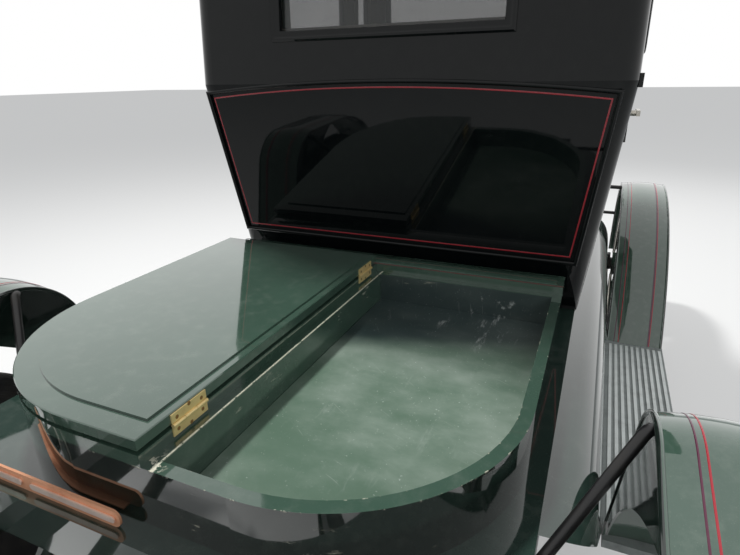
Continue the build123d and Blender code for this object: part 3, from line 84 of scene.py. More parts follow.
def srgb(red: int, green: int, blue: int) -> Colour:
    """Colour written as 0 to 255 screen values, turned into linear light."""
    shares = (value / 255 for value in (red, green, blue))
    return tuple(s / 12.92 if s <= 0.04045 else ((s + 0.055) / 1.055) ** 2.4 for s in shares)


def shaded(colour: Colour, share: float) -> Colour:
    """A colour darkened to a share of its light."""
    return tuple(value * share for value in colour)


class Direction(Enum):
    """A way along one of the car's axes; the value is its sign."""

    @property
    def tag(self) -> str:
        """Its name as the CAD nodes spell it."""
        return self.name.lower()


class Side(Direction):
    """Side of the car; the value is the sign of Y there."""

    LEFT = 1
    RIGHT = -1


class End(Direction):
    """End of the car; the value is the sign of X there."""

    FRONT = 1
    REAR = -1


# Shader maths


def math_node(operation: str, swapped: bool = False) -> Callable[..., "Wire"]:
    """A method of Wire that adds one Math node.

    Args:
        operation: The node's operation.
        swapped: Whether the wire comes after the other operand.

    Returns:
        The method.
    """

    def method(wire: "Wire", *others: Any) -> "Wire":
        """The node's result."""
        values = (*others, wire) if swapped else (wire, *others)
        return wire.bench.node("Math", {"operation": operation}, dict(enumerate(values)))[0]

    return method


@dataclass(frozen=True, eq=False)
class Wire:
    """A socket of a node tree, with arithmetic that adds Math nodes."""

    bench: "Bench"
    socket: bpy.types.NodeSocket

    __add__ = __radd__ = math_node("ADD")
    __mul__ = __rmul__ = math_node("MULTIPLY")
    __sub__, __rsub__ = math_node("SUBTRACT"), math_node("SUBTRACT", swapped=True)
    __gt__, __lt__ = math_node("GREATER_THAN"), math_node("LESS_THAN")
    __abs__, root = math_node("ABSOLUTE"), math_node("SQRT")
    low, high = math_node("MINIMUM"), math_node("MAXIMUM")
    fold, angle_from = math_node("PINGPONG"), math_node("ARCTAN2")

    def wrap(self, period: float) -> "Wire":
        """Distance to the nearest multiple of a period."""
        return self.fold(period / 2)

    def ramp(self, start: float, end: float) -> "Wire":
        """Smooth step from 0 at start to 1 at end."""
        settings = {"interpolation_type": "SMOOTHSTEP"}
        inputs = {"Value": self, "From Min": start, "From Max": end}
        return self.bench.node("MapRange", settings, inputs)["Result"]

    def between(self, low: float, high: float) -> "Wire":
        """One between two values."""
        return (self > low) * (self < high)

    def line(self, start: Pair, end: Pair) -> "Wire":
        """Value at this height on the line through two (value, height) points."""
        slope = (end[0] - start[0]) / (end[1] - start[1])
        return (self - start[1]) * slope + start[0]


@dataclass(frozen=True)
class Made:
    """The outputs of a node that a bench has made."""

    bench: "Bench"
    node: bpy.types.Node

    def __getitem__(self, name: int | str) -> Wire:
        """An output by place or name."""
        return Wire(self.bench, self.node.outputs[name])


@dataclass
class Look:
    """What a finish feeds the surface shader: the height in metres, and as fixed the sockets that never vary."""

    colour: Any
    rough: Any
    metal: Any = 0.0
    coat: Any = 0.0
    height: Any = 0.0
    alpha: Any = 1.0
    fixed: dict[str, float] = field(default_factory=dict)


class Bench:
    """A material or world under construction: makes nodes and joins them."""

    def __init__(self, owner: bpy.types.Material | bpy.types.World) -> None:
        """Empties the owner's tree."""
        owner.use_nodes = True
        self.tree = owner.node_tree
        self.tree.nodes.clear()

    def node(self, kind: str, settings: dict[str, Any] | None = None, inputs: dict[Any, Any] | None = None) -> Made:
        """Makes a shader node.

        Args:
            kind: Node type without its ShaderNode prefix.
            settings: Properties, which are set first.
            inputs: Values or wires by socket name or place.

        Returns:
            The node's outputs.
        """
        made = self.tree.nodes.new("ShaderNode" + kind)
        for key, value in (settings or {}).items():
            setattr(made, key, value)
        for key, value in (inputs or {}).items():
            if isinstance(value, Wire):
                self.tree.links.new(value.socket, made.inputs[key])
            else:
                socket = made.inputs[key]
                socket.default_value = (*value, 1) if socket.type == "RGBA" and len(value) == 3 else value
        return Made(self, made)

    @cached_property
    def coords(self) -> Wire:
        """Object coordinates as a vector, in metres of the car's frame."""
        return self.node("TexCoord")["Object"]

    @cached_property
    def xyz(self) -> tuple[Wire, Wire, Wire]:
        """Object coordinates, one wire each."""
        split = self.node("SeparateXYZ", None, {0: self.coords})
        return split["X"], split["Y"], split["Z"]

    def axis(self, name: str) -> Wire:
        """Object coordinate X, Y or Z."""
        return self.xyz["XYZ".index(name)]

    def inward(self, first: Wire, second: Wire, radius: float) -> Wire:
        """Distance in from the rounded corner of two faces, capped at its radius.

        The corner's centre lies a radius in from both faces, so the distance is the radius less how far a point is
        from that centre, counting only what lies outwards of it.

        Args:
            first: Distance in from one face.
            second: Distance in from the other.
            radius: Corner radius.

        Returns:
            The distance in metres.
        """
        one, two = (radius - first).high(0.0), (radius - second).high(0.0)
        return radius - (one * one + two * two).root()

    def noise(self, scale: float, detail: float = 3, stretch: Sequence[float] = (1, 1, 1), rough: float = 0.5) -> Wire:
        """Noise from 0 to 1 on object coordinates.

        Args:
            scale: Features per metre.
            detail: Octaves.
            stretch: Factors on the three coordinates.
            rough: Share that each finer octave keeps.

        Returns:
            The noise value.
        """
        place = self.node("VectorMath", {"operation": "MULTIPLY"}, {0: self.coords, 1: tuple(stretch)})["Vector"]
        return self.node("TexNoise", None, {"Vector": place, "Scale": scale, "Detail": detail, "Roughness": rough})[0]

    def mix(self, share: Any, first: Any, second: Any) -> Wire:
        """Colour mixed from first, at share 0, to second, at share 1."""
        return self.node("Mix", {"data_type": "RGBA"}, {0: share, 6: first, 7: second})[2]

    def lay(self, mask: Wire, under: Look, over: Look) -> Look:
        """One look with another laid over it.

        Args:
            mask: One where the upper look shows.
            under: Lower look.
            over: Upper look.

        Returns:
            The laid look.
        """
        parts = {}
        for name in ("rough", "metal", "coat", "height"):
            low, high = getattr(under, name), getattr(over, name)
            alike = not isinstance(low, Wire) and not isinstance(high, Wire) and low == high
            parts[name] = low if alike else mask * high + (1 - mask) * low
        return Look(self.mix(mask, under.colour, over.colour), fixed=under.fixed, **parts)

    def finish(self, look: Look) -> None:
        """Adds the surface shader of a look."""
        inputs = {"Base Color": look.colour, "Roughness": look.rough, "Metallic": look.metal}
        inputs |= {"Coat Weight": look.coat, "Alpha": look.alpha, **look.fixed}
        if isinstance(look.height, Wire):
            inputs["Normal"] = self.node("Bump", None, {"Height": look.height, "Distance": 1.0})["Normal"]
        shader = self.node("BsdfPrincipled", None, inputs)
        self.node("OutputMaterial", None, {"Surface": shader["BSDF"]})


# Finishes


@dataclass(frozen=True)
class Finish:
    """A surface finish, used alone or laid over another."""

    name: str

    def look(self, bench: Bench) -> Look:
        """The finish's nodes on a bench."""
        raise NotImplementedError

    def material(self) -> bpy.types.Material:
        """The finish as a material."""
        material = bpy.data.materials.new(self.name)
        bench = Bench(material)
        bench.finish(self.look(bench))
        return material


@dataclass(frozen=True)
class Layered(Finish):
    """A finish with others laid over it where their masks say."""

    base: Finish
    layers: tuple[tuple[Callable[[Bench], Wire], Finish], ...]

    def look(self, bench: Bench) -> Look:
        """The base's nodes with each layer over them."""
        look = self.base.look(bench)
        for where, finish in self.layers:
            look = bench.lay(where(bench), look, finish.look(bench))
        return look


@dataclass(frozen=True)
class Lacquer(Finish):
    """Deep coach lacquer: coloured coat with dust, faint waves and rubbed spots."""

    colour: Colour
    dust_colour: Colour = srgb(150, 155, 145)
    dust: float = 0.10
    gloss: float = 0.06
    wave: float = 0.00012
    coat: float = 1.0
    shine: float = 0.5

    def look(self, bench: Bench) -> Look:
        """The finish's nodes on a bench."""
        broad = bench.noise(1.7, 4)
        fine = bench.noise(38, 5, rough=0.62)
        specks = bench.noise(520, 2).ramp(0.66, 0.74)
        colour = bench.mix(broad.ramp(0.3, 0.7), shaded(self.colour, 0.78), self.colour)
        veil = (fine.ramp(0.45, 0.8) * broad * self.dust + specks * self.dust * 0.6).low(0.6)
        return Look(
            bench.mix(veil, colour, self.dust_colour),
            self.gloss + fine.ramp(0.5, 0.85) * 0.06 + veil * 0.5,
            coat=self.coat,
            height=(bench.noise(9, 2) * 2.0 + bench.noise(140, 2) * 0.12) * self.wave,
            fixed={"Coat Roughness": 0.03, "Specular IOR Level": self.shine},
        )


@dataclass(frozen=True)
class Metal(Finish):
    """Bare or plated metal with a fine grain and rubbed, uneven roughness."""

    colour: Colour
    tarnish: Colour
    rough: float = 0.28
    grain: Sequence[float] = (1, 1, 1)
    worn: float = 0.5
    metal: float = 1.0

    def look(self, bench: Bench) -> Look:
        """The finish's nodes on a bench."""
        patches = bench.noise(24, 5, rough=0.6)
        grain = bench.noise(900, 2, self.grain)
        return Look(
            bench.mix(patches.ramp(0.42, 0.75) * self.worn, self.colour, self.tarnish),
            self.rough + patches * 0.18 + grain * 0.08,
            metal=self.metal,
            height=grain * 0.00004,
        )


@dataclass(frozen=True)
class Enamel(Finish):
    """Brushed on black enamel of the running gear, with road dust low down."""

    colour: Colour = srgb(22, 22, 23)
    dust: Colour = srgb(120, 112, 98)
    gloss: float = 0.26

    def look(self, bench: Bench) -> Look:
        """The finish's nodes on a bench."""
        patches = bench.noise(14, 5, rough=0.6)
        low = 1 - bench.axis("Z").ramp(0.25, 0.75)
        veil = (patches.ramp(0.4, 0.8) * (0.06 + low * 0.3)).low(0.5)
        return Look(
            bench.mix(veil, self.colour, self.dust),
            self.gloss + patches * 0.2 + veil * 0.4,
            height=bench.noise(260, 3) * 0.00012,
        )


@dataclass(frozen=True)
class Rubber(Finish):
    """Black rubber with circumferential lines, tread blocks and a dusty contact band."""

    centre: Point
    outer_radius: float
    colour: Colour = srgb(34, 34, 35)
    dust: Colour = srgb(118, 110, 98)
    blocks: int = 96
    block_slant: float = 1.2
    rib_pitch: float = 0.014
    wall_pitch: float = 0.012
    depth: float = 0.0018
    tread_edge: Pair = (0.011, 0.007)

    def look(self, bench: Bench) -> Look:
        """The finish's nodes on a bench."""
        along_x, across, along_z = (place - middle for place, middle in zip(bench.xyz, self.centre))
        across = abs(across)
        radius = (along_x * along_x + along_z * along_z).root()
        angle = along_z.angle_from(along_x)
        tread = radius.ramp(*(self.outer_radius - inset for inset in self.tread_edge))
        rib = across.wrap(self.rib_pitch).ramp(0.0012, 0.0026)
        block = (angle + across * self.block_slant).wrap(2 * pi / self.blocks).ramp(0.004, 0.010)
        shoulder = across.ramp(0.012, 0.015)
        wall = radius.wrap(self.wall_pitch).ramp(0.001, 0.002)
        height = tread * (rib * (1 - shoulder) + block * shoulder) + (1 - tread) * wall
        patches = bench.noise(11, 5, rough=0.6)
        dust = (patches.ramp(0.35, 0.8) * (0.18 + tread * 0.25)).low(0.6)
        return Look(bench.mix(dust, self.colour, self.dust), 0.62 + patches * 0.25, height=height * self.depth)


@dataclass(frozen=True)
class Cloth(Finish):
    """Ribbed wool cloth."""

    colour: Colour = srgb(122, 108, 84)
    deep: Colour = srgb(84, 72, 54)
    rib: float = 0.004

    def look(self, bench: Bench) -> Look:
        """The finish's nodes on a bench."""
        x, y, z = bench.xyz
        warp = y.wrap(self.rib).ramp(0.0, self.rib / 2)
        weft = (x + z).wrap(self.rib * 0.65).ramp(0.0, self.rib * 0.33)
        patches = bench.noise(7, 5, rough=0.6)
        colour = bench.mix(patches.ramp(0.3, 0.75), self.deep, self.colour)
        colour = bench.mix((1 - warp) * 0.45, colour, self.deep)
        return Look(colour, 0.86, height=(warp * 0.7 + weft * 0.3) * 0.0006, fixed={"Sheen Weight": 0.25})


@dataclass(frozen=True)
class LongGrain(Finish):
    """Black coated roof cloth with a pebbled grain and a grey weathered bloom."""

    colour: Colour = srgb(26, 27, 27)
    bloom: Colour = srgb(92, 92, 88)

    def look(self, bench: Bench) -> Look:
        """The finish's nodes on a bench."""
        pebbles = bench.node("TexVoronoi", None, {"Vector": bench.coords, "Scale": 420.0})["Distance"]
        patches = bench.noise(5, 6, rough=0.6)
        veil = patches.ramp(0.45, 0.8) * 0.35
        return Look(bench.mix(veil, self.colour, self.bloom), 0.48 + veil * 0.6, height=pebbles * 0.0005)


@dataclass(frozen=True)
class StainedWood(Finish):
    """Dark stained ash with its grain along Y."""

    colour: Colour = srgb(98, 58, 30)
    dark: Colour = srgb(52, 28, 15)

    def look(self, bench: Bench) -> Look:
        """The finish's nodes on a bench."""
        grain = bench.noise(60, 5, (1, 0.06, 1), 0.65)
        pores = bench.noise(700, 2, (1, 0.05, 1))
        colour = bench.mix(grain.ramp(0.35, 0.7), self.dark, self.colour)
        return Look(colour, 0.3 + grain * 0.2, coat=0.4, height=pores * 0.0001)


@dataclass(frozen=True)
class OldPaint(Finish):
    """Flat, chalky paint of the tray: dust clouds, arc scratches, rubbed pale scuffs and a painted shadow.

    The scratches run round the swirl's centre, and ahead of the line that the shadow's X sets the paint is a painted
    shadow in dark blue, where the dust shows less.
    """

    colour: Colour = srgb(84, 106, 90)
    chalk: Colour = srgb(172, 182, 172)
    scuff: Colour = srgb(212, 216, 212)
    # The blue colour and the two settings below it are the painted shadow: its tint, where it starts and how strong it
    # is.
    blue: Colour = srgb(32, 42, 48)
    swirl_x: float = -0.30
    swirl_y: float = -0.62
    far_x: float = -0.66
    far_share: float = 0.85

    def look(self, bench: Bench) -> Look:
        """The finish's nodes on a bench."""
        x, y, _ = bench.xyz
        clouds = bench.noise(5.5, 6, (1, 0.6, 1), 0.62)
        fine = bench.noise(90, 4, rough=0.6)
        # Painted shadow: past a slanted line at the far end the paint turns dark blue and the dust fades.
        far = (x + y * 0.32).ramp(self.far_x - 0.12, self.far_x - 0.02)
        colour = bench.mix(far * self.far_share, self.colour, self.blue)
        dust = clouds.ramp(0.34, 0.84) * 0.55 + fine.ramp(0.6, 0.8) * 0.12
        colour = bench.mix((dust * (1 - far * 0.7)).low(0.75), colour, self.chalk)
        away_x, away_y = x - self.swirl_x, y - self.swirl_y
        ring = (away_x * away_x + away_y * away_y).root() + bench.noise(4, 2) * 0.05
        arcs = (1 - ring.wrap(0.031).ramp(0.0002, 0.0011)) * bench.noise(16, 3).ramp(0.56, 0.70) * 0.12
        smears = bench.noise(26, 5, (0.35, 1.5, 1), 0.7).ramp(0.56, 0.70)
        patch = bench.noise(7, 3).ramp(0.48, 0.62)
        scuffs = (arcs + smears * patch * (0.10 + far * 0.45)).low(0.75)
        specks = bench.noise(240, 2).ramp(0.71, 0.76) * 0.5
        colour = bench.mix((scuffs + specks).low(0.8), colour, self.scuff)
        rough = 0.34 + clouds * 0.2 + dust * 0.4
        return Look(colour, rough, coat=0.12, height=(fine * 0.3 + clouds) * 0.0003)


@dataclass(frozen=True)
class Glass(Finish):
    """Plate or moulded glass with faint smears; the alpha is how solid it looks."""

    tint: Colour
    alpha: float
    rough: float = 0.02

    def look(self, bench: Bench) -> Look:
        """The finish's nodes on a bench."""
        smear = bench.noise(6, 5, (1, 1, 0.4), 0.62)
        return Look(
            bench.mix(smear.ramp(0.4, 0.8), self.tint, shaded(self.tint, 1.25)),
            self.rough + smear.ramp(0.55, 0.9) * 0.06,
            alpha=self.alpha + smear.ramp(0.5, 0.9) * 0.06,
            fixed={"Specular IOR Level": 0.9},
        )


@dataclass
class Palette:
    """Every finish of the car; a material is built on first use."""

    green: Lacquer = Lacquer("deck_green", srgb(62, 86, 73), dust=0.22)
    deep_green: Lacquer = Lacquer("pan_green", srgb(42, 60, 53), dust=0.16)
    # Painted shade: a near black copy of the deck green for faces that lie in shade.
    edge_green: Lacquer = Lacquer("edge_green", srgb(22, 32, 28), dust=0.1)
    wheel_green: Lacquer = Lacquer("wheel_green", srgb(46, 66, 55), dust=0.25, gloss=0.12)
    black: Lacquer = Lacquer(
        "cab_black", srgb(10, 14, 15), dust=0.015, gloss=0.03, wave=0.00018, coat=0.3, shine=0.08
    )
    tray: OldPaint = OldPaint("tray_green")
    # Painted shade: the tray paint with its dark blue painted shadow over the whole face.
    shade: OldPaint = OldPaint("wall_shade", far_x=-2.0)
    # Pale primer for scuffs and rubbed edges, also used as painted edge highlight on the deck's rim and ledge.
    primer: Metal = Metal("primer", srgb(214, 210, 190), srgb(170, 172, 158), 0.5, metal=0.0)
    gear: Enamel = Enamel("gear_black")
    brass: Metal = Metal("brass", srgb(240, 216, 156), srgb(200, 166, 104), 0.42, worn=0.5, metal=0.7)
    screw: Metal = Metal("screw_brass", srgb(150, 112, 62), srgb(104, 74, 40), 0.4, worn=0.6, metal=0.6)
    copper: Metal = Metal("copper", srgb(226, 166, 130), srgb(186, 122, 88), 0.36, metal=0.45)
    # Painted highlight: a pale cream metal standing in for the sky mirrored on the plate bar's rounded ribs.
    silver: Metal = Metal("silver_rib", srgb(226, 206, 194), srgb(186, 160, 146), 0.3, metal=0.6)
    nickel: Metal = Metal("nickel", srgb(204, 200, 190), srgb(150, 142, 128), 0.12, worn=0.3)
    board: Metal = Metal("board_ribs", srgb(212, 217, 215), srgb(184, 188, 186), 0.36, (0.05, 1, 1), metal=0.25)
    groove: Metal = Metal("board_grooves", srgb(142, 148, 146), srgb(100, 104, 102), 0.6, (0.05, 1, 1), metal=0.1)
    lining: Lacquer = Lacquer("lining_red", srgb(164, 32, 46), dust=0.05, gloss=0.2, coat=0.3)
    lining_dark: Lacquer = Lacquer("lining_dark", srgb(84, 26, 54), dust=0.05, gloss=0.2, coat=0.3)
    cloth: Cloth = Cloth("seat_cloth")
    lining_cloth: Cloth = Cloth("cab_cloth", srgb(112, 104, 88), srgb(78, 72, 60), 0.003)
    roof: LongGrain = LongGrain("roof_cloth")
    wood: StainedWood = StainedWood("stained_wood")
    pane: Glass = Glass("pane", srgb(30, 38, 38), 0.42)
    lens: Glass = Glass("lamp_lens", srgb(210, 216, 212), 0.16)
    ruby: Lacquer = Lacquer("ruby_glass", srgb(150, 14, 16), dust=0.02, gloss=0.05, coat=1.0, shine=0.5)
    bulb: Glass = Glass("bulb_glass", srgb(236, 226, 196), 0.6)
    made: dict[str, bpy.types.Material] = field(default_factory=dict)

    def get(self, finish: Finish) -> bpy.types.Material:
        """The material of a finish."""
        if finish.name not in self.made:
            self.made[finish.name] = finish.material()
        return self.made[finish.name]


# Surfaces


def unit(vectors: Array) -> Array:
    """Vectors scaled to length one."""
    return vectors / np.maximum(np.linalg.norm(vectors, axis=-1, keepdims=True), TINY)


def grid_faces(rows: int, columns: int, ring: bool = False) -> Array:
    """Quads between rings of points.

    Args:
        rows: Number of rings.
        columns: Points of a ring.
        ring: Whether the last ring joins the first.

    Returns:
        Vertex numbers, shape (n, 4).
    """
    r, c = np.meshgrid(np.arange(rows if ring else rows - 1), np.arange(columns), indexing="ij")
    r2, c2 = (r + 1) % rows, (c + 1) % columns
    return np.stack([r * columns + c, r2 * columns + c, r2 * columns + c2, r * columns + c2], -1).reshape(-1, 4)


def capped(rings: Array) -> Shape:
    """Rings of points, shape (n, m, 3), as a tube whose two ends close on their centres."""
    caps = rings[[0, -1]].mean(1, keepdims=True).repeat(rings.shape[1], 1)
    rings = np.concatenate([caps[:1], rings, caps[1:]])
    return rings.reshape(-1, 3), grid_faces(*rings.shape[:2])


def joined(shapes: Sequence[Shape]) -> Shape:
    """Several shapes as one."""
    starts = np.cumsum([0] + [len(points) for points, _ in shapes[:-1]])
    points = np.concatenate([points for points, _ in shapes])
    return points, np.concatenate([faces + start for (_, faces), start in zip(shapes, starts)])


def mirrored(shape: Shape, side: Side) -> Shape:
    """A shape of the car's left side put on the given side."""
    return shape[0] * np.array([1.0, side.value, 1.0]), shape[1]


def carried(path: Array, up: Array, profile: Array, ring: bool = False) -> Shape:
    """Closed section carried along a path, mitred at its corners, its open ends capped.

    Each point is the path's, plus profile x sideways and profile y up. Sideways is (s1 + s2) / (1 + s1·s2), where
    s1 and s2 are the unit sides of the runs before and after, so the section stays true round a corner.

    Args:
        path: Path points, shape (n, 3).
        up: Up direction at each point, or one for all.
        profile: Sideways and upward offsets of a closed section, shape (m, 2).
        ring: Whether the path closes on itself.

    Returns:
        Points and quads.
    """
    after = np.roll(path, -1, 0) - path
    if not ring:
        after[-1] = after[-2]
    before = np.roll(after, 1, 0)
    if not ring:
        before[0] = after[0]
    up = np.broadcast_to(np.asarray(up, float), path.shape)
    first, second = unit(np.cross(before, up)), unit(np.cross(after, up))
    side = (first + second) / (1 + (first * second).sum(1, keepdims=True))
    grid = path[:, None] + profile[None, :, :1] * side[:, None] + profile[None, :, 1:] * up[:, None]
    return (grid.reshape(-1, 3), grid_faces(*grid.shape[:2], ring=True)) if ring else capped(grid)


def turned(profile: Array, centre: Sequence[float], axis: int, steps: int = 48, ring: bool = False) -> Shape:
    """Profile of (distance along the axis, radius) turned about an axis through the centre.

    Args:
        profile: Distances and radii, shape (n, 2); it starts and ends at radius 0, or is a ring.
        centre: Point on the axis.
        axis: X, Y or Z.
        steps: Points round the turn.
        ring: Whether the profile closes on itself.

    Returns:
        Points and quads.
    """
    angle = np.linspace(0, 2 * pi, steps, endpoint=False)
    grid = np.zeros((len(profile), steps, 3))
    grid[..., axis] = profile[:, :1]
    grid[..., (axis + 1) % 3] = profile[:, 1:] * np.cos(angle)
    grid[..., (axis + 2) % 3] = profile[:, 1:] * np.sin(angle)
    return (grid + np.asarray(centre, float)).reshape(-1, 3), grid_faces(len(profile), steps, ring)


def rounded_loop(corners: Array, radius: float, steps: int = 8) -> Array:
    """Closed loop through corners in a plane, each turned by a true arc.

    An arc's centre stands on the corner's bisector, radius / sin(half angle) from the corner, and its points are
    the centre plus the radius times the unit vector swung evenly from one tangent point to the other.

    Args:
        corners: Corner points, shape (n, 3).
        radius: Arc radius.
        steps: Points per corner.

    Returns:
        Loop points.
    """
    before, after = unit(np.roll(corners, 1, 0) - corners), unit(np.roll(corners, -1, 0) - corners)
    half = np.arccos(np.clip((before * after).sum(1, keepdims=True), -1, 1)) / 2
    centre = corners + unit(before + after) * radius / np.sin(half)
    start = unit(corners + before * radius / np.tan(half) - centre)
    end = unit(corners + after * radius / np.tan(half) - centre)
    swing = (pi - 2 * half)[:, None]
    t = np.linspace(0, 1, steps)[None, :, None]
    points = (np.sin((1 - t) * swing) * start[:, None] + np.sin(t * swing) * end[:, None]) / np.sin(swing)
    return (centre[:, None] + radius * points).reshape(-1, 3)


def band(width: float, height: float = PAINT_RISE, sunk: float = 0.0004) -> Array:
    """Closed section of a low crowned stripe that is let into its surface."""
    x = np.array([-0.5, -0.5, -0.4, -0.15, 0.15, 0.4, 0.5, 0.5]) * width
    y = np.array([-sunk, 0, height * 0.8, height, height, height * 0.8, 0, -sunk])
    return np.stack([x, y], -1)


def bead(radius: float, rise: float = 0.0, steps: int = 12) -> Array:
    """Closed round section of a radius, its centre raised by rise."""
    angle = np.linspace(0, 2 * pi, steps, endpoint=False)
    return np.stack([radius * np.cos(angle), radius * np.sin(angle) + rise], -1)


def dome(radius: float, height: float, base: float = 0.0, steps: int = 5) -> Array:
    """Profile of a button: a flat foot, then an elliptic cap."""
    t = np.linspace(0, pi / 2, steps)
    cap = np.stack([base + height * np.sin(t), radius * np.cos(t)], -1)
    return np.concatenate([[[base, 0.0]], cap])


def arc(centre: Pair, radius: float, start: float, end: float, steps: int) -> tuple[Array, Array]:
    """Points and outward normals of an arc in the XZ plane, angles in degrees from +X."""
    angle = np.radians(np.linspace(start, end, steps))
    normal = np.stack([np.cos(angle), np.sin(angle)], -1)
    return np.asarray(centre) + radius * normal, normal


def placed(name: str, data: bpy.types.ID) -> bpy.types.Object:
    """A new object of the scene."""
    thing = bpy.data.objects.new(name, data)
    bpy.context.scene.collection.objects.link(thing)
    return thing


def make_piece(name: str, shape: Shape, body: str, material: bpy.types.Material) -> bpy.types.Object:
    """Makes one closed mesh from whole arrays and rides it on a body.

    Args:
        name: Object name.
        shape: Points and quads.
        body: CAD body it moves with.
        material: Its material.

    Returns:
        The new object.
    """
    points, faces = shape
    mesh = bpy.data.meshes.new(name)
    mesh.vertices.add(len(points))
    mesh.vertices.foreach_set("co", np.ascontiguousarray(points, np.float32).ravel())
    mesh.loops.add(faces.size)
    mesh.loops.foreach_set("vertex_index", np.ascontiguousarray(faces, np.int32).ravel())
    mesh.polygons.add(len(faces))
    mesh.polygons.foreach_set("loop_start", np.arange(0, faces.size, faces.shape[1], dtype=np.int32))
    mesh.update(calc_edges=True)
    tidy = bmesh.new()
    tidy.from_mesh(mesh)
    bmesh.ops.remove_doubles(tidy, verts=tidy.verts, dist=MERGE)
    bmesh.ops.recalc_face_normals(tidy, faces=tidy.faces)
    tidy.to_mesh(mesh)
    tidy.free()
    mesh.polygons.foreach_set("use_smooth", np.ones(len(mesh.polygons), bool))
    mesh.set_sharp_from_angle(angle=CREASE)
    mesh.materials.append(material)
    piece = placed(name, mesh)
    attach(piece, body)
    LOG.info("made %s: %d faces", name, len(mesh.polygons))
    return piece


@dataclass(frozen=True)
class Panel:
    """A flat face of the body between two heights, seen from outside.

    low and high are the points at the face's foot and head from which distances across it count; the outward normal
    is the right direction crossed with the upward one.
    """

    low: Point
    high: Point
    right: Point

    @property
    def normal(self) -> Array:
        """Outward unit normal."""
        return unit(np.cross(self.right, np.subtract(self.high, self.low)))

    def at(self, across: Any, z: Any, proud: float = 0.0) -> Array:
        """Points of the face.

        Args:
            across: Distances along the right direction.
            z: Heights above the ground.
            proud: Distance out from the face.

        Returns:
            Points, shape (n, 3).
        """
        across, z = np.broadcast_arrays(np.asarray(across, float), np.asarray(z, float))
        share = (z - self.low[2]) / (self.high[2] - self.low[2])
        rise = np.subtract(self.high, self.low)
        return self.low + share[:, None] * rise + across[:, None] * np.array(self.right) + proud * self.normal

    def frame(self, left: float, right: float, low: float, high: float) -> Array:
        """Corners of a rectangle on the face, anticlockwise from its lower left."""
        return self.at([left, right, right, left], [low, low, high, high])


@dataclass
class SubAssembly:
    """A part of the car: dresses its CAD nodes and adds its own pieces."""

    frame: dict[str, Any]
    palette: Palette

    def dress(self, finish: Finish, *nodes: str) -> None:
        """Gives carried CAD nodes a finish."""
        for node in nodes:
            slots = self.frame["nodes"][node].data.materials
            slots.clear()
            slots.append(self.palette.get(finish))

    def piece(self, name: str, shapes: Sequence[Shape], body: str, slot: str, finish: Finish) -> bpy.types.Object:
        """One piece from several shapes, in a finish of the palette."""
        return make_piece(name, joined(shapes), body, self.palette.get(finish))

    def build(self) -> None:
        """Builds the sub-assembly's looks."""
        raise NotImplementedError


SCREW_SECTION = np.array([[0.001, 0], [0.001, 0.0034], [-0.0001, 0.0034], [-0.0003, 0.0029], [-0.00034, 0]])


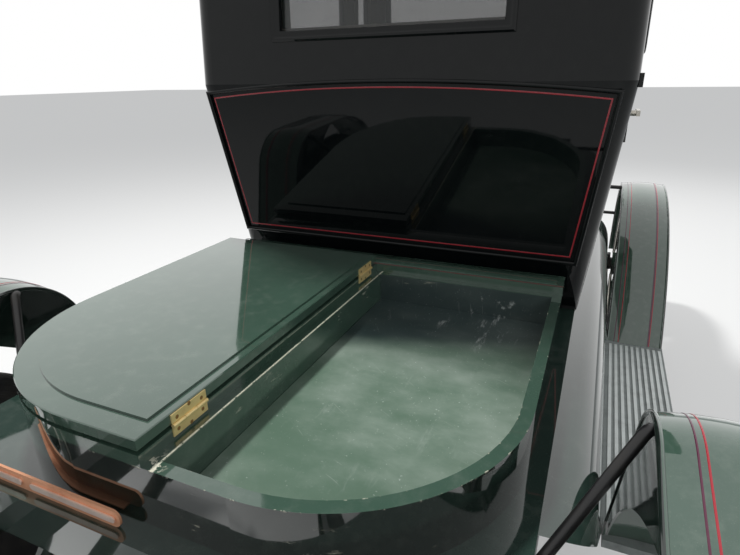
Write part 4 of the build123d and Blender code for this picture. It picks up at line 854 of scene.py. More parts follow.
@dataclass
class RearDeck(SubAssembly):
    """Round tailed rear deck with its folded lid, pan, tray, hinges and plate bar.

    leaves lists each hinge leaf's body, its middle's height and the way that its middle screw is off that height. A
    drop is how far below the rim a kind of wear or paint begins.
    """

    half_width: float = 0.490
    tail_x: float = -1.289
    corner: float = 0.344
    wall: float = 0.022
    rim_z: float = 0.835
    top_z: float = 0.855
    seam_y: float = -0.018
    front_wall_x: float = -0.4525
    inside_y: Pair = (-0.47, -0.016)
    rim_wear: Pair = (0.0004, 0.0018)
    ledge_wear: Pair = (0.0010, 0.0034)
    tail_wear_x: Pair = (0.01, 0.05)
    tail_wear_y: Pair = (0.01, 0.03)
    rubbed_drop: Pair = (0.003, 0.0005)
    outside_skin: float = 0.001
    outside_drop: float = 0.0004
    shaded_drop: float = 0.002
    scuffed_drop: float = 0.004
    strip_x: Pair = (-0.420, -0.360)
    strip_half: float = 0.476
    strip_rise: float = 0.0028
    strip_sunk: float = 0.0005
    strip_bevel: float = 0.004
    hinge_x: Pair = (-1.185, -0.515)
    leaves: tuple[tuple[str, float, int], ...] = (("root", 0.8455, -1), ("rear_lid", 0.8725, 1))
    leaf_y: float = -0.002
    screw_step: float = 0.027
    screw_zigzag: float = 0.0032
    plate_face_x: float = -1.312
    plate_skin: float = 0.0008

    def inward(self, bench: Bench) -> Wire:
        """Distance in from the box's outer wall."""
        x, y, _ = bench.xyz
        return bench.inward(x - self.tail_x, self.half_width - abs(y), self.corner)

    def rubbed(self, bench: Bench) -> Wire:
        """Flakes of pale paint along the rim's two edges and the seam ledge's edge: partly paint rubbed off, partly
        painted edge highlight.
        """
        x, y, z = bench.xyz
        inward = self.inward(bench)
        # Painted highlight with some wear: pale flakes along the rim's inner and outer edges and the ledge's edge.
        rim = 1 - abs(inward - self.wall).low(abs(inward)).ramp(*self.rim_wear)
        ledge = (1 - abs(y - self.seam_y).ramp(*self.ledge_wear)) * x.between(self.tail_x, self.strip_x[0])
        flakes = bench.noise(55, 6, rough=0.72)
        top = z.ramp(*(self.rim_z - drop for drop in self.rubbed_drop))
        tail = (1 - (x - self.tail_x).ramp(*self.tail_wear_x)) * (1 - abs(y + 0.01).ramp(*self.tail_wear_y))
        chips_and_highlights = (rim * flakes.ramp(0.58, 0.64) * 0.7).high(ledge * flakes.ramp(0.38, 0.46))
        return chips_and_highlights.high(tail * flakes.ramp(0.50, 0.55)).low(1.0) * top

    def outside(self, bench: Bench) -> Wire:
        """The box's outer wall below its rim, which gets a near black painted shade."""
        return (self.inward(bench) < self.outside_skin) * (bench.axis("Z") < self.rim_z - self.outside_drop)

    def shaded_wall(self, bench: Bench) -> Wire:
        """The opening's front wall, which gets a dark blue painted shade."""
        x, y, z = bench.xyz
        inside = y.between(-self.half_width + self.wall, self.seam_y)
        return inside * (x > self.front_wall_x) * (z < self.rim_z - self.shaded_drop)

    def scuffed(self, bench: Bench) -> Wire:
        """Where the inside faces of the deck walls are scuffed pale."""
        smears = bench.noise(30, 6, (0.5, 0.5, 2.2), 0.72).ramp(0.60, 0.68)
        patch = bench.noise(9, 3).ramp(0.50, 0.60)
        inside = bench.axis("Y").between(*self.inside_y) * (bench.axis("Z") < self.rim_z - self.scuffed_drop)
        return smears * patch * inside * 0.55

    def plate_face(self, bench: Bench) -> Wire:
        """The plate bar's ribs, which stand out behind its body and get a pale painted highlight."""
        return bench.axis("X") < self.plate_face_x - self.plate_skin

    def paint(self) -> None:
        """Lays the paint of the deck's CAD nodes."""
        palette = self.palette
        self.dress(palette.green, "rear_deck_top", "deck_lid")
        self.dress(palette.deep_green, "rear_pan", "splash_aprons")
        layers = (
            # Painted shade: the box's outer wall in a near black copy of the green.
            (self.outside, palette.edge_green),
            # Painted shade on the opening's front wall.
            (self.shaded_wall, palette.shade),
            (self.scuffed, palette.primer),
            (self.rubbed, palette.primer),
        )
        self.dress(Layered("deck_box_green", palette.green, layers), "rear_deck_box")
        self.dress(palette.tray, "deck_tray")
        self.dress(palette.brass, "deck_hinge_fixed", "deck_hinge_moving")
        self.dress(Layered("plate_bar", palette.copper, ((self.plate_face, palette.silver),)), "plate_bracket")

    def screws(self) -> None:
        """Countersunk screws on the upright hinge leaves, three a leaf in a zigzag."""
        for body, middle, turn in self.leaves:
            steps = ((-self.screw_step, -turn), (0.0, turn), (self.screw_step, -turn))
            places = [
                (x + dx, self.leaf_y, middle + self.screw_zigzag * dz) for x in self.hinge_x for dx, dz in steps
            ]
            shapes = [turned(SCREW_SECTION, place, Y, steps=14) for place in places]
            self.piece(f"hinge_screws_{body}", shapes, body, "brass", self.palette.screw)

    def strip_panel(self) -> None:
        """Raised panel on the strip along the cab: a flat sheet whose edge falls over a small bevel."""
        rows = ((0, self.top_z - self.strip_sunk), (0, self.top_z), (self.strip_bevel, self.top_z + self.strip_rise))
        rings = []
        for inset, z in rows:
            low, high = self.strip_x[0] + inset, self.strip_x[1] - inset
            half = self.strip_half - inset
            rings.append([(low, -half, z), (high, -half, z), (high, half, z), (low, half, z)])
        self.piece("deck_strip_panel", [capped(np.array(rings))], "root", "deck_green", self.palette.green)

    def build(self) -> None:
        """Builds the deck's looks."""
        self.paint()
        self.screws()
        self.strip_panel()


WINDOW_FRAME = np.array(
    [[0.005, -0.003], [0.005, 0.004], [0.001, 0.0075], [-0.004, 0.0075], [-0.008, 0.004], [-0.012, 0.003]]
    + [[-0.018, 0.003], [-0.021, 0.001], [-0.021, -0.013], [-0.016, -0.013], [-0.012, -0.003]]
)
WINDOW_BEAD = np.array(
    [[0.005, -0.003], [0.005, 0.003], [0.002, 0.005], [-0.003, 0.005], [-0.007, 0.002], [-0.007, -0.013]]
    + [[-0.003, -0.013], [-0.001, -0.003]]
)
SIDE_LINING = (
    ("door", ((0.082, 0.800), (0.608, 0.800), (0.608, 1.180), (0.082, 1.180))),
    ("quarter", ((-0.200, 0.830), (-0.002, 0.800), (-0.002, 1.270), (-0.262, 1.270))),
    ("cowl", ((0.692, 0.800), (0.862, 0.800), (0.862, 1.270), (0.692, 1.270))),
)


@dataclass
class CabBody(SubAssembly):
    """Tall closed cab: near black lacquer, red lining, window beads, roof and glass.

    step, belt and eaves hold the side walls' half widths and heights, back_low an X and a height, and toe the X where
    the toe board starts and its slope. A window is its ends across the face, then its foot and head.
    """

    step: Pair = (0.527, 0.731)
    belt: Pair = (0.590, 1.325)
    eaves: Pair = (0.584, 1.990)
    back_low: Pair = (-0.318, 0.872)
    back_belt_x: float = -0.388
    back_eaves_x: float = -0.348
    screen_x: Pair = (0.930, 0.890)
    sill_z: float = 0.575
    heel_x: float = -0.010
    toe: Pair = (0.760, 0.853)
    skin: float = 0.016
    floor_skin: float = 0.0192
    corner: float = 0.060
    recess: float = 0.006
    field_half: Pair = (0.550, 0.502)
    field_low_z: float = 0.8862
    field_arch: float = 0.028
    arch_steps: int = 41
    stripe_inset: float = 0.010
    stripe_width: float = 0.0038
    field_gap: float = 0.001
    bead_radius: float = 0.0055
    bead_rise: float = -0.001
    rear_window: tuple[float, ...] = (-0.317, 0.317, 1.435, 1.800)
    front_window: tuple[float, ...] = (-0.5, 0.5, 1.370, 1.890)
    window_radius: float = 0.024
    window_z: Pair = (1.385, 1.890)
    fixed_windows: tuple[Pair, ...] = ((-0.290, -0.020), (0.700, 0.840))
    door_window: Pair = (0.110, 0.580)
    lining_radius: float = 0.018
    lining_width: float = 0.0034
    roof_half: float = 0.610
    roof_ends: Pair = (-0.374, 0.916)
    roof_corner: float = 0.150
    roof_rim: float = 0.045
    roof_crown: float = 2.150
    roof_bow: float = 4.224
    roof_skin: float = 0.013
    drip_z: float = 2.004
    drip_radius: float = 0.007
    handle_z: Pair = (1.205, 1.255)
    handle_front_x: float = 0.3
    handle_gap: float = 0.006

    def wall(self, side: Side, upper: bool) -> Panel:
        """A side wall of the cab below or above the belt."""
        low, high = (self.belt, self.eaves) if upper else (self.step, self.belt)
        sign = side.value
        return Panel((0, sign * low[0], low[1]), (0, sign * high[0], high[1]), (-sign, 0, 0))

    @property
    def back(self) -> Panel:
        """Back of the cab below the belt."""
        return Panel((self.back_low[0], 0, self.back_low[1]), (self.back_belt_x, 0, self.belt[1]), (0, -1, 0))

    @property
    def back_upper(self) -> Panel:
        """Back of the cab above the belt."""
        return Panel((self.back_belt_x, 0, self.belt[1]), (self.back_eaves_x, 0, self.eaves[1]), (0, -1, 0))

    @property
    def screen(self) -> Panel:
        """Front of the cab above the belt."""
        return Panel((self.screen_x[0], 0, self.belt[1]), (self.screen_x[1], 0, self.eaves[1]), (0, 1, 0))

    def inside(self, bench: Bench) -> Wire:
        """One on the cab's inner faces: further in than skin from its outer walls, and above its floor."""
        x, y, z = bench.xyz
        belt_z, eaves_z = self.belt[1], self.eaves[1]
        back_belt = (self.back_belt_x, belt_z)
        half = z.line(self.step, self.belt).low(z.line(self.belt, self.eaves))
        back = z.line(self.back_low, back_belt).high(z.line(back_belt, (self.back_eaves_x, eaves_z)))
        front = z.line((self.screen_x[0], belt_z), (self.screen_x[1], eaves_z)).low(self.screen_x[0])
        foot = (x - self.heel_x) * ((self.back_low[1] - self.sill_z) / (self.back_low[0] - self.heel_x)) + self.sill_z
        toe = (x - self.toe[0]) * self.toe[1] + self.sill_z
        floor = foot.high(toe).high(self.sill_z) + self.floor_skin
        inward = bench.inward((x - back).low(front - x), half - abs(y), self.corner)
        return (inward > self.skin) * (z > floor)

    def under_roof(self, bench: Bench) -> Wire:
        """One on the roof's inner faces: below the crown curve, where height falls with Y squared."""
        x, y, z = bench.xyz
        crown = self.roof_crown - y * y * (1 / self.roof_bow)
        rear, front = self.roof_ends
        inward = bench.inward((x - rear).low(front - x), self.roof_half - abs(y), self.roof_corner)
        inward = bench.inward(inward, crown - z, self.roof_rim)
        return inward > self.roof_skin

    def handles(self, bench: Bench) -> Wire:
        """One on the door handles, which stand out from the doors."""
        reach = abs(bench.axis("Y")) > self.belt[0] - self.handle_gap
        return reach * bench.axis("Z").between(*self.handle_z) * (bench.axis("X") < self.handle_front_x)

    def paint(self) -> None:
        """Lays the finishes of the cab's CAD nodes."""
        palette = self.palette
        layers = ((self.inside, palette.lining_cloth), (self.handles, palette.nickel))
        shell = Layered("body_black", palette.black, layers)
        self.dress(shell, "cab_rear_body", "cab_front_body", "cab_floor", "cab_upper_frame")
        self.dress(shell, "door_left", "door_right")
        self.dress(palette.black, "belt_moulding")
        self.dress(palette.pane, "window_glass", "door_glass_left", "door_glass_right")
        self.dress(palette.gear, "door_hinges")
        self.dress(Layered("roof", palette.roof, ((self.under_roof, palette.lining_cloth),)), "cab_roof")

    def field_loop(self, inset: float, proud: float) -> Array:
        """Loop round the back field: an arched top, where height falls with the square of the distance from the
        middle, and three straight sides.

        Args:
            inset: Distance in from the field's edge.
            proud: Height above the cab's back.

        Returns:
            Loop points, anticlockwise seen from behind.
        """
        top_half, low_half = (half - inset for half in self.field_half)
        t = np.linspace(1, -1, self.arch_steps)
        across = np.concatenate([[-low_half, low_half], t * top_half])
        top_z = self.belt[1] - inset - self.field_gap - self.field_arch * t**2
        z = np.concatenate([[self.field_low_z + inset] * 2, top_z])
        return self.back.at(across, z, proud)

    def trim(
        self, name: str, panel: Panel, loops: Sequence[Array], section: Array, finish: Finish, body: str = "root"
    ) -> None:
        """Adds a piece whose section is carried round loops on a panel.

        Args:
            name: Object name.
            panel: Face that the loops lie on.
            loops: Closed paths.
            section: Sideways and outward offsets.
            finish: Its finish.
            body: CAD body it moves with.
        """
        shapes = [carried(loop, panel.normal, section, ring=True) for loop in loops]
        self.piece(name, shapes, body, "body_black", finish)

    def back_lining(self) -> None:
        """Red lining inside the back field and the half round bead outside it."""
        stripe, rim = self.field_loop(self.stripe_inset, -self.recess), self.field_loop(-self.bead_radius, 0.0)
        self.trim("back_lining", self.back, [stripe], band(self.stripe_width), self.palette.lining)
        self.trim("back_bead", self.back, [rim], bead(self.bead_radius, self.bead_rise), self.palette.black)

    def window_beads(self) -> None:
        """Beads round the windows: mitred on the two end windows, with rounded corners on the sides."""
        black = self.palette.black
        self.trim("window_frame_rear", self.back_upper, [self.back_upper.frame(*self.rear_window)], WINDOW_FRAME, black)
        self.trim("window_frame_front", self.screen, [self.screen.frame(*self.front_window)], WINDOW_FRAME, black)
        for side in Side:
            panel = self.wall(side, upper=True)
            door = f"{side.tag}_door"
            for name, body, windows in (
                ("window_bead", "root", self.fixed_windows),
                ("door_window_bead", door, (self.door_window,)),
            ):
                frames = [sorted(-side.value * end for end in ends) for ends in windows]
                loops = [rounded_loop(panel.frame(*ends, *self.window_z), self.window_radius) for ends in frames]
                self.trim(f"{name}_{side.tag}", panel, loops, WINDOW_BEAD, black, body)

    def side_lining(self) -> None:
        """Red lining on the doors, the rear quarters and the cowl panels, all below the belt."""
        for side in Side:
            panel = self.wall(side, upper=False)
            for name, corners in SIDE_LINING:
                x, z = np.array(corners).T
                loop = rounded_loop(panel.at(-side.value * x, z), self.lining_radius)[:: -side.value]
                body = f"{side.tag}_door" if name == "door" else "root"
                section = band(self.lining_width)
                self.trim(f"{name}_lining_{side.tag}", panel, [loop], section, self.palette.lining, body)

    def roof_drip(self) -> None:
        """Half round drip moulding round the roof's foot."""
        (rear, front), half = self.roof_ends, self.roof_half
        corners = np.array([(rear, -half, 0), (front, -half, 0), (front, half, 0), (rear, half, 0)])
        path = rounded_loop(corners + (0, 0, self.drip_z), self.roof_corner, steps=12)
        shape = carried(path, (0, 0, 1), bead(self.drip_radius), ring=True)
        self.piece("roof_drip", [shape], "root", "body_black", self.palette.black)

    def build(self) -> None:
        """Builds the cab's looks."""
        self.paint()
        self.back_lining()
        self.window_beads()
        self.side_lining()
        self.roof_drip()


@dataclass
class Wings(SubAssembly):
    """Fenders and running boards with their lining; angles are in degrees."""

    mid_y: float = 0.745
    half_section: float = 0.095
    crown: float = 0.010
    rear_radius: float = 0.473
    rear_top_angle: float = 101.8
    rear_tail_angle: float = 186
    rear_slope: float = 62.6
    shoulder_radius: float = 0.184
    foot: Pair = (-0.625, 0.342)
    front_radius: float = 0.437
    tail_radius: float = 1.050
    nose_angle: float = -6
    rib_z: float = 0.342
    groove_drop: Pair = (0.0026, 0.0008)
    front_pair: Pair = (0.6746, 0.6896)
    rear_pair: Pair = (0.6900, 0.7000)
    edge_y: float = 0.7945
    fine: float = 0.0028
    broad: float = 0.0056

    def rear_profile(self) -> tuple[Array, Array]:
        """Rear fender's crest: an arc over the wheel, a straight run that both arcs touch, the shoulder's arc and
        a straight run down to the board.

        Returns:
            Points and normals in the XZ plane.
        """
        fall, slope = radians(90 - self.rear_top_angle), radians(self.rear_slope)
        end_x = -AXLE_X + self.rear_radius * sin(fall)
        end_z = AXLE_Z + self.rear_radius * cos(fall)
        reach_x = self.foot[0] - end_x - self.shoulder_radius * (sin(slope) - sin(fall))
        reach_z = end_z - self.foot[1] - self.shoulder_radius * (cos(fall) - cos(slope))
        run = (reach_x * sin(slope) - reach_z * cos(slope)) / sin(slope - fall)
        shoulder = (
            end_x + run * cos(fall) - self.shoulder_radius * sin(fall),
            end_z - run * sin(fall) - self.shoulder_radius * cos(fall),
        )
        crown = arc((-AXLE_X, AXLE_Z), self.rear_radius, self.rear_tail_angle, self.rear_top_angle, steps=60)
        turn = arc(shoulder, self.shoulder_radius, self.rear_top_angle, 90 - self.rear_slope, steps=30)
        foot = np.array([self.foot]), turn[1][-1:]
        return tuple(np.concatenate(rows) for rows in zip(crown, turn, foot))

    def front_profile(self) -> tuple[Array, Array]:
        """Front fender's crest: the long tail's arc up to the crest, then the arc over the wheel.

        Returns:
            Points and normals in the XZ plane.
        """
        low_z = AXLE_Z + self.front_radius - self.tail_radius
        start = 180 - degrees(asin((self.rib_z - low_z) / self.tail_radius))
        tail = arc((AXLE_X, low_z), self.tail_radius, start, 90, steps=50)
        crown = arc((AXLE_X, AXLE_Z), self.front_radius, 90, self.nose_angle, steps=50)
        return tuple(np.concatenate([first, second[1:]]) for first, second in zip(tail, crown))

    def stripe(self, profile: tuple[Array, Array], lateral: float, width: float) -> Shape:
        """Stripe along a left fender: the crest moved sideways and down its crown.

        The crown is an arc of radius R = (half² + crown²) / (2 crown), so a place d from its middle lies
        R - sqrt(R² - d²) below the crest and leans by asin(d / R).

        Args:
            profile: Crest points and normals.
            lateral: Distance from the car's middle.
            width: Stripe width.

        Returns:
            Points and quads.
        """
        points, normals = profile
        bow = (self.half_section**2 + self.crown**2) / (2 * self.crown)
        off = lateral - self.mid_y
        crest = points - (bow - sqrt(bow**2 - off**2)) * normals
        path = np.stack([crest[:, 0], np.full(len(crest), lateral), crest[:, 1]], -1)
        lean = sqrt(1 - (off / bow) ** 2)
        up = np.stack([normals[:, 0] * lean, np.full(len(crest), off / bow), normals[:, 1] * lean], -1)
        return carried(path, up, band(width))

    def edges(self, bench: Bench) -> Wire:
        """The fenders' rolled edges and inner walls, which get a near black painted shade."""
        return 1 - (abs(abs(bench.axis("Y")) - self.mid_y) < self.half_section)

    def grooves(self, bench: Bench) -> Wire:
        """The grooves between the running boards' ribs."""
        return 1 - bench.axis("Z").ramp(*(self.rib_z - drop for drop in self.groove_drop))

    def lining(self) -> None:
        """Pairs of a dark and a red stripe on the four fenders: a fine pair near the body, and one near the outer edge
        whose dark stripe is broad.
        """
        palette, red_y = self.palette, self.edge_y + (self.broad + self.fine) / 2
        crests = (
            (End.FRONT, self.front_profile(), self.front_pair),
            (End.REAR, self.rear_profile(), self.rear_pair),
        )
        for side in Side:
            for end, profile, (dark_y, inner_y) in crests:
                for tone, finish, first_y, second_y, width in (
                    ("dark", palette.lining_dark, dark_y, self.edge_y, self.broad),
                    ("red", palette.lining, inner_y, red_y, self.fine),
                ):
                    stripes = self.stripe(profile, first_y, self.fine), self.stripe(profile, second_y, width)
                    shapes = [mirrored(stripe, side) for stripe in stripes]
                    self.piece(f"{end.tag}_lining_{side.tag}_{tone}", shapes, "root", "deck_green", finish)

    def build(self) -> None:
        """Dresses the fenders, boards and braces and lays the stripes."""
        palette = self.palette
        # Painted shade: the fenders' edges and inner walls in a near black copy of the green.
        wing = Layered("wing_green", palette.green, ((self.edges, palette.edge_green),))
        self.dress(wing, *(f"{end.tag}_fender_{side.tag}" for end in End for side in Side))
        self.dress(Layered("board_metal", palette.board, ((self.grooves, palette.groove),)), "running_boards")
        self.dress(palette.gear, "fender_braces")
        self.lining()


HUB_CAP = np.array(
    [[0.061, 0], [0.061, 0.0538], [0.066, 0.0545], [0.092, 0.0490], [0.101, 0.0430], [0.1052, 0.0340]]
    + [[0.1068, 0.018], [0.1072, 0]]
)
HUB_HEXAGON = np.array([[0.078, 0], [0.078, 0.0560], [0.080, 0.0575], [0.090, 0.0575], [0.092, 0.0560], [0.092, 0]])
HUB_NUT = np.array([[0, 0], [0, 0.0078], [0.0055, 0.0078], [0.0065, 0.0066], [0.0065, 0]])
VALVE_STEM = np.array(
    [[0.014, 0], [0.014, 0.0036], [-0.012, 0.0036], [-0.012, 0.005], [-0.026, 0.0046], [-0.027, 0]]
)


@dataclass
class RunningGear(SubAssembly):
    """Wheels, tyres, axles, springs and frame.

    flange holds a rim flange's distance out from the wheel's middle and its radius; spoke_line the distances from the
    wheel's axis and out from its middle, at both ends of a spoke's line.
    """

    half_track: float = 0.711
    tyre_radius: float = 0.381
    flange: Pair = (0.0355, 0.296)
    flange_bead: float = 0.0042
    felloe_inner: float = 0.258
    felloe_half: float = 0.030
    felloe_lines: Pair = (0.267, 0.283)
    line_width: float = 0.003
    nut_face: float = 0.040
    nut_ring: float = 0.081
    nut_count: int = 6
    nut_turn: float = 45
    spoke_count: int = 12
    spoke_turn: float = 15
    spoke_line: tuple[Pair, ...] = ((0.104, 0.0183), (0.246, 0.0146))
    spoke_rise: float = 0.0004
    spoke_sunk: float = 0.0012

    def round_hub(self, first: float, count: int) -> Array:
        """Unit vectors in the wheel's plane, evenly round the hub from the first one's angle in degrees."""
        turns = radians(first) + np.arange(count) * 2 * pi / count
        return np.stack([np.cos(turns), np.zeros(count), np.sin(turns)], -1)

    def wheel(self, tag: str, side: Side, centre: Array) -> None:
        """Rim flanges, hub cap, nuts, valve stem and lining of one wheel.

        Args:
            tag: The wheel's end and side, as its node spells them.
            side: Side of the car.
            centre: Middle of the wheel.
        """
        out = np.array([side.value, 1.0])
        outward = np.array([0.0, side.value, 0.0])
        (flange_half, flange_radius), round_bead = self.flange, bead(self.flange_bead)
        rims = [
            turned(round_bead + (way * flange_half, flange_radius), centre, Y, steps=96, ring=True) for way in (-1, 1)
        ]
        rims.append(turned(VALVE_STEM, centre + (self.felloe_inner, 0, 0), X, steps=12))
        caps = [turned(HUB_CAP * out, centre, Y), turned(HUB_HEXAGON * out, centre, Y, steps=6)]
        for way in self.round_hub(self.nut_turn, self.nut_count):
            place = centre + way * self.nut_ring + outward * self.nut_face
            caps.append(turned(HUB_NUT * out, place, Y, steps=6))
        line = band(self.line_width)[:, ::-1] * out
        lines = [
            turned(line + (side.value * self.felloe_half, radius), centre, Y, steps=96, ring=True)
            for radius in self.felloe_lines
        ]
        section = band(self.line_width, self.spoke_rise, self.spoke_sunk)
        for way in self.round_hub(self.spoke_turn, self.spoke_count):
            path = np.array([centre + reach * way + height * outward for reach, height in self.spoke_line])
            lines.append(carried(path, outward, section))
        for name, shapes, finish in (
            ("rims", rims, self.palette.nickel),
            ("hub_cap", caps, self.palette.nickel),
            ("wheel_lining", lines, self.palette.lining),
        ):
            self.piece(f"{name}_{tag}", shapes, f"{tag}_wheel", "wheel_wood", finish)

    def build(self) -> None:
        """Dresses the running gear and finishes the wheels."""
        gear = ("front_axle", "steering_knuckle_left", "steering_knuckle_right", "tie_rod", "rear_axle")
        self.dress(self.palette.gear, *gear, "leaf_springs", "chassis_frame", "drive_motor", "battery_blocks")
        for end in End:
            for side in Side:
                centre = (end.value * AXLE_X, side.value * self.half_track, AXLE_Z)
                tag = f"{end.tag}_{side.tag}"
                self.dress(Rubber(f"rubber_{tag}", centre, self.tyre_radius), f"tyre_{tag}")
                self.dress(self.palette.wheel_green, f"wheel_{tag}")
                self.wheel(tag, side, np.array(centre))


@dataclass
class Front(SubAssembly):
    """Hood, headlamps and tail lamp.

    rim and tail_rim hold a rim's place along X and its radius, tail_lens a radius and a height, and hood_front an X
    and a half width.
    """

    lamp: Point = (1.332, 0.525, 1.010)
    bowl_face: float = -0.010
    bowl_depth: float = 0.108
    bowl_radius: float = 0.0755
    bowl_skin: float = 0.0012
    bulb_foot: float = -0.100
    bulb_half: float = 0.011
    bulb_radius: float = 0.0105
    rim: Pair = (-0.001, 0.0885)
    rim_bead: float = 0.0055
    tail_lamp: Point = (-1.382, 0.400, 0.6825)
    tail_rim: Pair = (0.0, 0.0245)
    tail_bead: float = 0.0035
    tail_lens: Pair = (0.0225, 0.009)
    cab_front_x: float = 0.930
    hidden_run: float = 1.0
    hood_rear_x: float = 0.962
    hood_front: Pair = (1.500, 0.390)
    hood_rear_half: float = 0.430
    hood_corner: float = 0.190
    nose_steps: int = 20
    hood_lines: Pair = (0.700, 0.890)
    lid_inset: float = 0.040
    lid_top: float = 0.945
    line_width: float = 0.0034

    def lamps(self) -> None:
        """Silvered bowls, whose depth falls with the radius squared, their bulbs and rims, and the tail lamp's lens."""
        radius = np.linspace(0, self.bowl_radius, 16)
        deep = self.bowl_face - self.bowl_depth * (1 - (radius / self.bowl_radius) ** 2)
        inner = np.stack([deep, radius], -1)
        bowl = np.concatenate([inner, inner[::-1] - (self.bowl_skin, 0)])
        t = np.linspace(0, pi, 12)
        glass = np.stack([self.bulb_foot + self.bulb_half * (1 - np.cos(t)), self.bulb_radius * np.sin(t)], -1)
        bowls, rims, bulbs = [], [], []
        for side in Side:
            centre = np.array(self.lamp) * (1, side.value, 1)
            bowls.append(turned(bowl, centre, X, steps=48))
            rims.append(turned(bead(self.rim_bead) + self.rim, centre, X, steps=64, ring=True))
            bulbs.append(turned(glass, centre, X, steps=24))
        rims.append(turned(bead(self.tail_bead) + self.tail_rim, self.tail_lamp, X, steps=40, ring=True))
        lens = turned(dome(*self.tail_lens) * (-1, 1), self.tail_lamp, X, steps=32)
        for name, shapes, slot, finish in (
            ("lamp_bowls", bowls, "lamp_black", self.palette.nickel),
            ("lamp_rims", rims, "lamp_black", self.palette.nickel),
            ("lamp_bulbs", bulbs, "glass", self.palette.bulb),
            ("tail_lens", [lens], "glass", self.palette.ruby),
        ):
            self.piece(name, shapes, "root", slot, finish)

    def hood_outline(self, inset: float, z: float) -> Array:
        """Open path round the hood's sides and nose at a height, from the left of the cab to its right.

        Args:
            inset: Distance in from the hood's sides.
            z: Height above the ground.

        Returns:
            Path points.
        """
        front_x, front_half = self.hood_front
        taper = (self.hood_rear_half - front_half) / (front_x - self.cab_front_x)
        far = self.hood_rear_x - self.hidden_run
        far_half, near_half = (front_half + taper * (front_x - x) - inset for x in (far, self.hood_rear_x))
        nose_x, nose_half = front_x - inset, front_half - inset
        corners = [(far, far_half, z), (nose_x, nose_half, z), (nose_x, -nose_half, z), (far, -far_half, z)]
        steps = self.nose_steps
        nose = rounded_loop(np.array(corners), self.hood_corner - inset, steps)[steps : 3 * steps]
        return np.concatenate([[(self.hood_rear_x, near_half, z)], nose, [(self.hood_rear_x, -near_half, z)]])

    def hood_lining(self) -> None:
        """Red lining round the hood's sides and along its lid's edge."""
        section = band(self.line_width)
        sides = []
        for z in self.hood_lines:
            path = self.hood_outline(0.0, z)
            sides.append(carried(path, unit(np.cross((0, 0, 1), np.gradient(path, axis=0))), section))
        self.piece("hood_lining", sides, "root", "deck_green", self.palette.lining)
        lid = carried(self.hood_outline(self.lid_inset, self.lid_top), (0, 0, 1), section)
        self.piece("hood_lid_lining", [lid], "hood_cover", "deck_green", self.palette.lining)

    def build(self) -> None:
        """Dresses the front of the car."""
        palette = self.palette
        self.dress(palette.green, "front_hood", "hood_lid")
        self.dress(palette.black, "lamps")
        self.dress(palette.lens, "headlamp_lenses")
        self.lamps()
        self.hood_lining()


@dataclass(frozen=True)
class Cushion:
    """One padded piece of the seat: the corners of its side view, its room across the cab and its button rows."""

    node: str
    outline: tuple[Pair, ...]
    half: float
    face: Point
    rows: tuple[float, ...]
    row_axis: int
    round: float = 0.030


SEAT = (
    Cushion(
        "seat_cushion",
        ((-0.280, 0.880), (0.020, 0.880), (0.020, 1.005), (-0.280, 1.005)),
        0.470,
        (0, 0, 1),
        (-0.200, -0.110),
        X,
    ),
    Cushion(
        "seat_back",
        ((-0.318, 1.012), (-0.180, 1.012), (-0.238, 1.495), (-0.346, 1.495)),
        0.470,
        (0.993, 0, 0.120),
        (1.130, 1.250, 1.370),
        Z,
    ),
)


